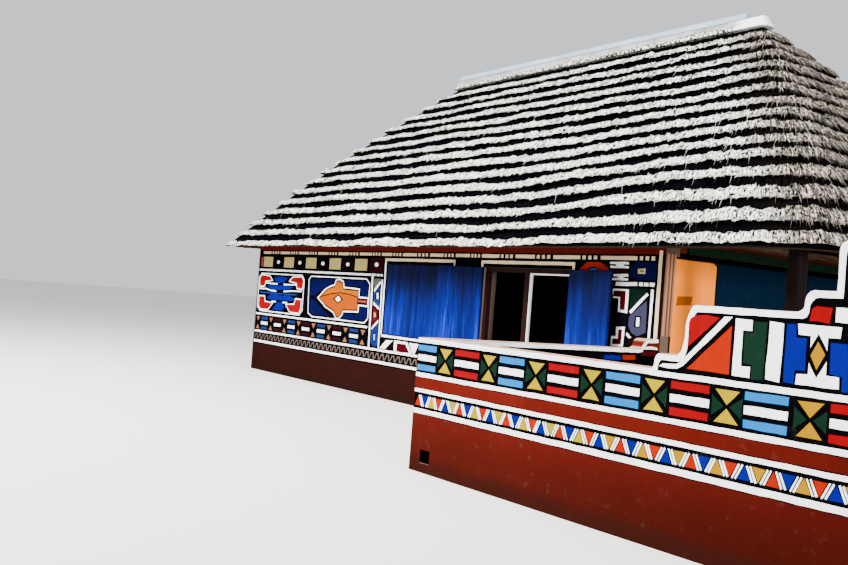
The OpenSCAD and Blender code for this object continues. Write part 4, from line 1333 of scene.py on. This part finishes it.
def tree_post(x, y, rng):
    """A barked trunk, drawn up ring by ring from a round foot."""
    bpy.ops.object.select_all(action="DESELECT")
    bpy.ops.mesh.primitive_circle_add(vertices=28, radius=POST_R, fill_type="NGON",
                                      location=(x, y, POST_FOOT))
    post = bpy.context.object
    bpy.ops.object.transform_apply(location=True, rotation=True, scale=True)
    choose_all()
    lift = (0, 0, (POST_TOP - POST_FOOT) / BARK_RINGS)
    for _ in range(BARK_RINGS):
        bpy.ops.mesh.extrude_region_move(TRANSFORM_OT_translate={"value": lift})
    bpy.ops.object.mode_set(mode="OBJECT")
    lean = rng.uniform(0, 6)
    for vertex in post.data.vertices:
        angle = math.atan2(vertex.co.y - y, vertex.co.x - x)
        z = vertex.co.z
        ridges = 0.0035 * math.sin(7 * angle + 1.3 * math.sin(2.1 * z + lean))
        ridges += 0.002 * math.sin(13 * angle - 3 * z)
        bulge = 0.004 * math.sin(2.4 * z + lean) - 0.006 * (z - POST_FOOT) / 2.35
        scale = 1 + (ridges + bulge - 0.004) / POST_R
        vertex.co.x = x + (vertex.co.x - x) * scale
        vertex.co.y = y + (vertex.co.y - y) * scale
    choose([post])
    choose_all()
    bpy.ops.mesh.normals_make_consistent(inside=False)
    bpy.ops.object.mode_set(mode="OBJECT")
    bpy.ops.object.shade_smooth_by_angle(angle=math.radians(50))
    return post


def make_posts():
    rng = np.random.RandomState(3)
    posts = join([tree_post(POST_X, y, rng) for y in (-POST_Y, POST_Y)])
    recolour(posts, timber("post_bark", (0.007, 0.0036, 0.003), (0.0018, 0.001, 0.0009), "Z", 0.9,
                           (0.016, 0.0092, 0.0074)))
    hand_in(posts, "veranda_tree_posts", "post_wood", "veranda_posts")


# Finishes of the parts that stay

# Just inside the painted faces of the house
INSIDE_X, INSIDE_Y = 5.095, 2.635
FOOT_TOP, ABOVE_ALL = 0.5, 9.0
FOOT_COLOUR = (0.0145, 0.0038, 0.003)
WALL_STEPS = [(FOOT_TOP, FOOT_COLOUR), (2.297, BLACK), (2.368, (0.066, 0.0052, 0.004)),
              (ABOVE_ALL, (0.33, 0.135, 0.064))]
# On the veranda end the near-black step from 2.268 to 2.333, just under the green beam, is painted shadow of
# the beam.
VERANDA_STEPS = [(FOOT_TOP, FOOT_COLOUR), (2.268, (0.0018, 0.0082, 0.021)),
                 (2.333, (0.0024, 0.0014, 0.0018)), (ABOVE_ALL, (0.105, 0.018, 0.005))]
POLE_COLOURS = (0.17, 0.105, 0.06), (0.048, 0.027, 0.016)


def long_side(f):
    """1 on the faces of the front and back walls that are left plain."""
    x = f.axis("X")
    end = (x < -INSIDE_X).high((x > INSIDE_X) * (f.axis("Z") < FOOT_TOP))
    return (f.axis("Y").size() < INSIDE_Y) * (1.0 - end)


def dress_house():
    dress(house_wall_finish("front_plaster", WALL_STEPS, long_side), "front_wall", "back_wall")
    dress(house_wall_finish("left_end_plaster", WALL_STEPS, lambda f: f.axis("X") > -INSIDE_X),
          "left_end_wall")
    dress(house_wall_finish("veranda_plaster", VERANDA_STEPS, lambda f: f.axis("X") < INSIDE_X),
          "right_end_wall")
    dress(courtyard_finish(), "courtyard_front_wall", "courtyard_side_wall")
    brown = timber("frame_brown", (0.015, 0.0038, 0.0032), (0.0055, 0.0017, 0.0015), "Z", 1.4)
    dress(brown, "window_1_frame", "window_2_frame", "back_window_frames", "door_frame")
    dress(timber("pole_wood", *POLE_COLOURS, "X", 1.0), "front_plate", "back_plate", "ridge_board")
    dress(timber("pole_wood_across", *POLE_COLOURS, "Y", 1.0), "left_plate", "right_plate", "front_rafters",
          "back_rafters", "end_rafters", "hip_rafters", "veranda_beam")
    dress(timber("beam_green", (0.0052, 0.023, 0.0092), (0.0023, 0.01, 0.0044), "Y", 1.2), "green_beam")
    trim = Finish("corner_trim", 0.6, Specular_IOR_Level=0.1)
    colour, rough, bumps = brushed(trim, (0.33, 0.145, 0.075), 0.3)
    dress(trim.done(colour, rough, bumps, 0.003, 0.4), "corner_mouldings")
    dress(thatch_under_finish(), "thatch_front", "thatch_back", "thatch_left", "thatch_right")
    dress(cap_finish(), "ridge_cap")
    dress(strip_finish(), "ridge_strip")
    dress(concrete("veranda_screed", (0.17, 0.068, 0.048), (0.1, 0.037, 0.028)), "veranda_floor")
    dress(concrete("room_screed", (0.24, 0.2, 0.17), (0.14, 0.11, 0.095)), "house_floor")


def paint_house():
    front = front_pattern()
    paint_wall("front_wall_pattern", front, (0, FRONT_Y, 0), ALONG_X, "painted_wall", 1)
    back = mirrored(front + lozenge(3.96, 1.24, 2.04))
    paint_wall("back_wall_pattern", back, (0, -FRONT_Y, 0), BACK_X, "painted_wall", 2)
    paint_wall("left_end_pattern", end_pattern(-FRONT_Y), (-END_X, 0, 0), BACK_Y, "painted_wall", 3)
    panels = VERANDA_PANEL + mirrored(VERANDA_PANEL[:2])
    paint_wall("veranda_wall_panels", panels, (END_X, 0, 0), ALONG_Y, "teal_wall", 4)
    start = (YARD_X, YARD_Y, 0)
    paint_wall("courtyard_front_pattern", yard_front_pattern(), start, ALONG_X, "courtyard_paint", 5)
    outer = yard_bands(SIDE_L) + [("white", rect(0.006, 1.19, SIDE_L - 0.006, 1.235))]
    outer = mirrored(outer, SIDE_L / 2)
    paint_wall("courtyard_side_outer_pattern", outer, (YARD_X, FRONT_Y, 0), BACK_Y, "courtyard_paint", 6)
    paint_wall("courtyard_side_inner_pattern", SIDE_WALL_PATTERN,
               (END_X, 0, 0), ALONG_Y, "courtyard_paint", 7)
    start = (YARD_X, YARD_Y + YARD_T, 0)
    paint_wall("courtyard_front_inner_pattern", inner_yard_pattern(), start, BACK_X, "courtyard_paint", 8)


make_camera()
make_light()
dress_house()
paint_house()
make_shutters()
make_sash()
make_posts()
make_thatch()
make_floor()
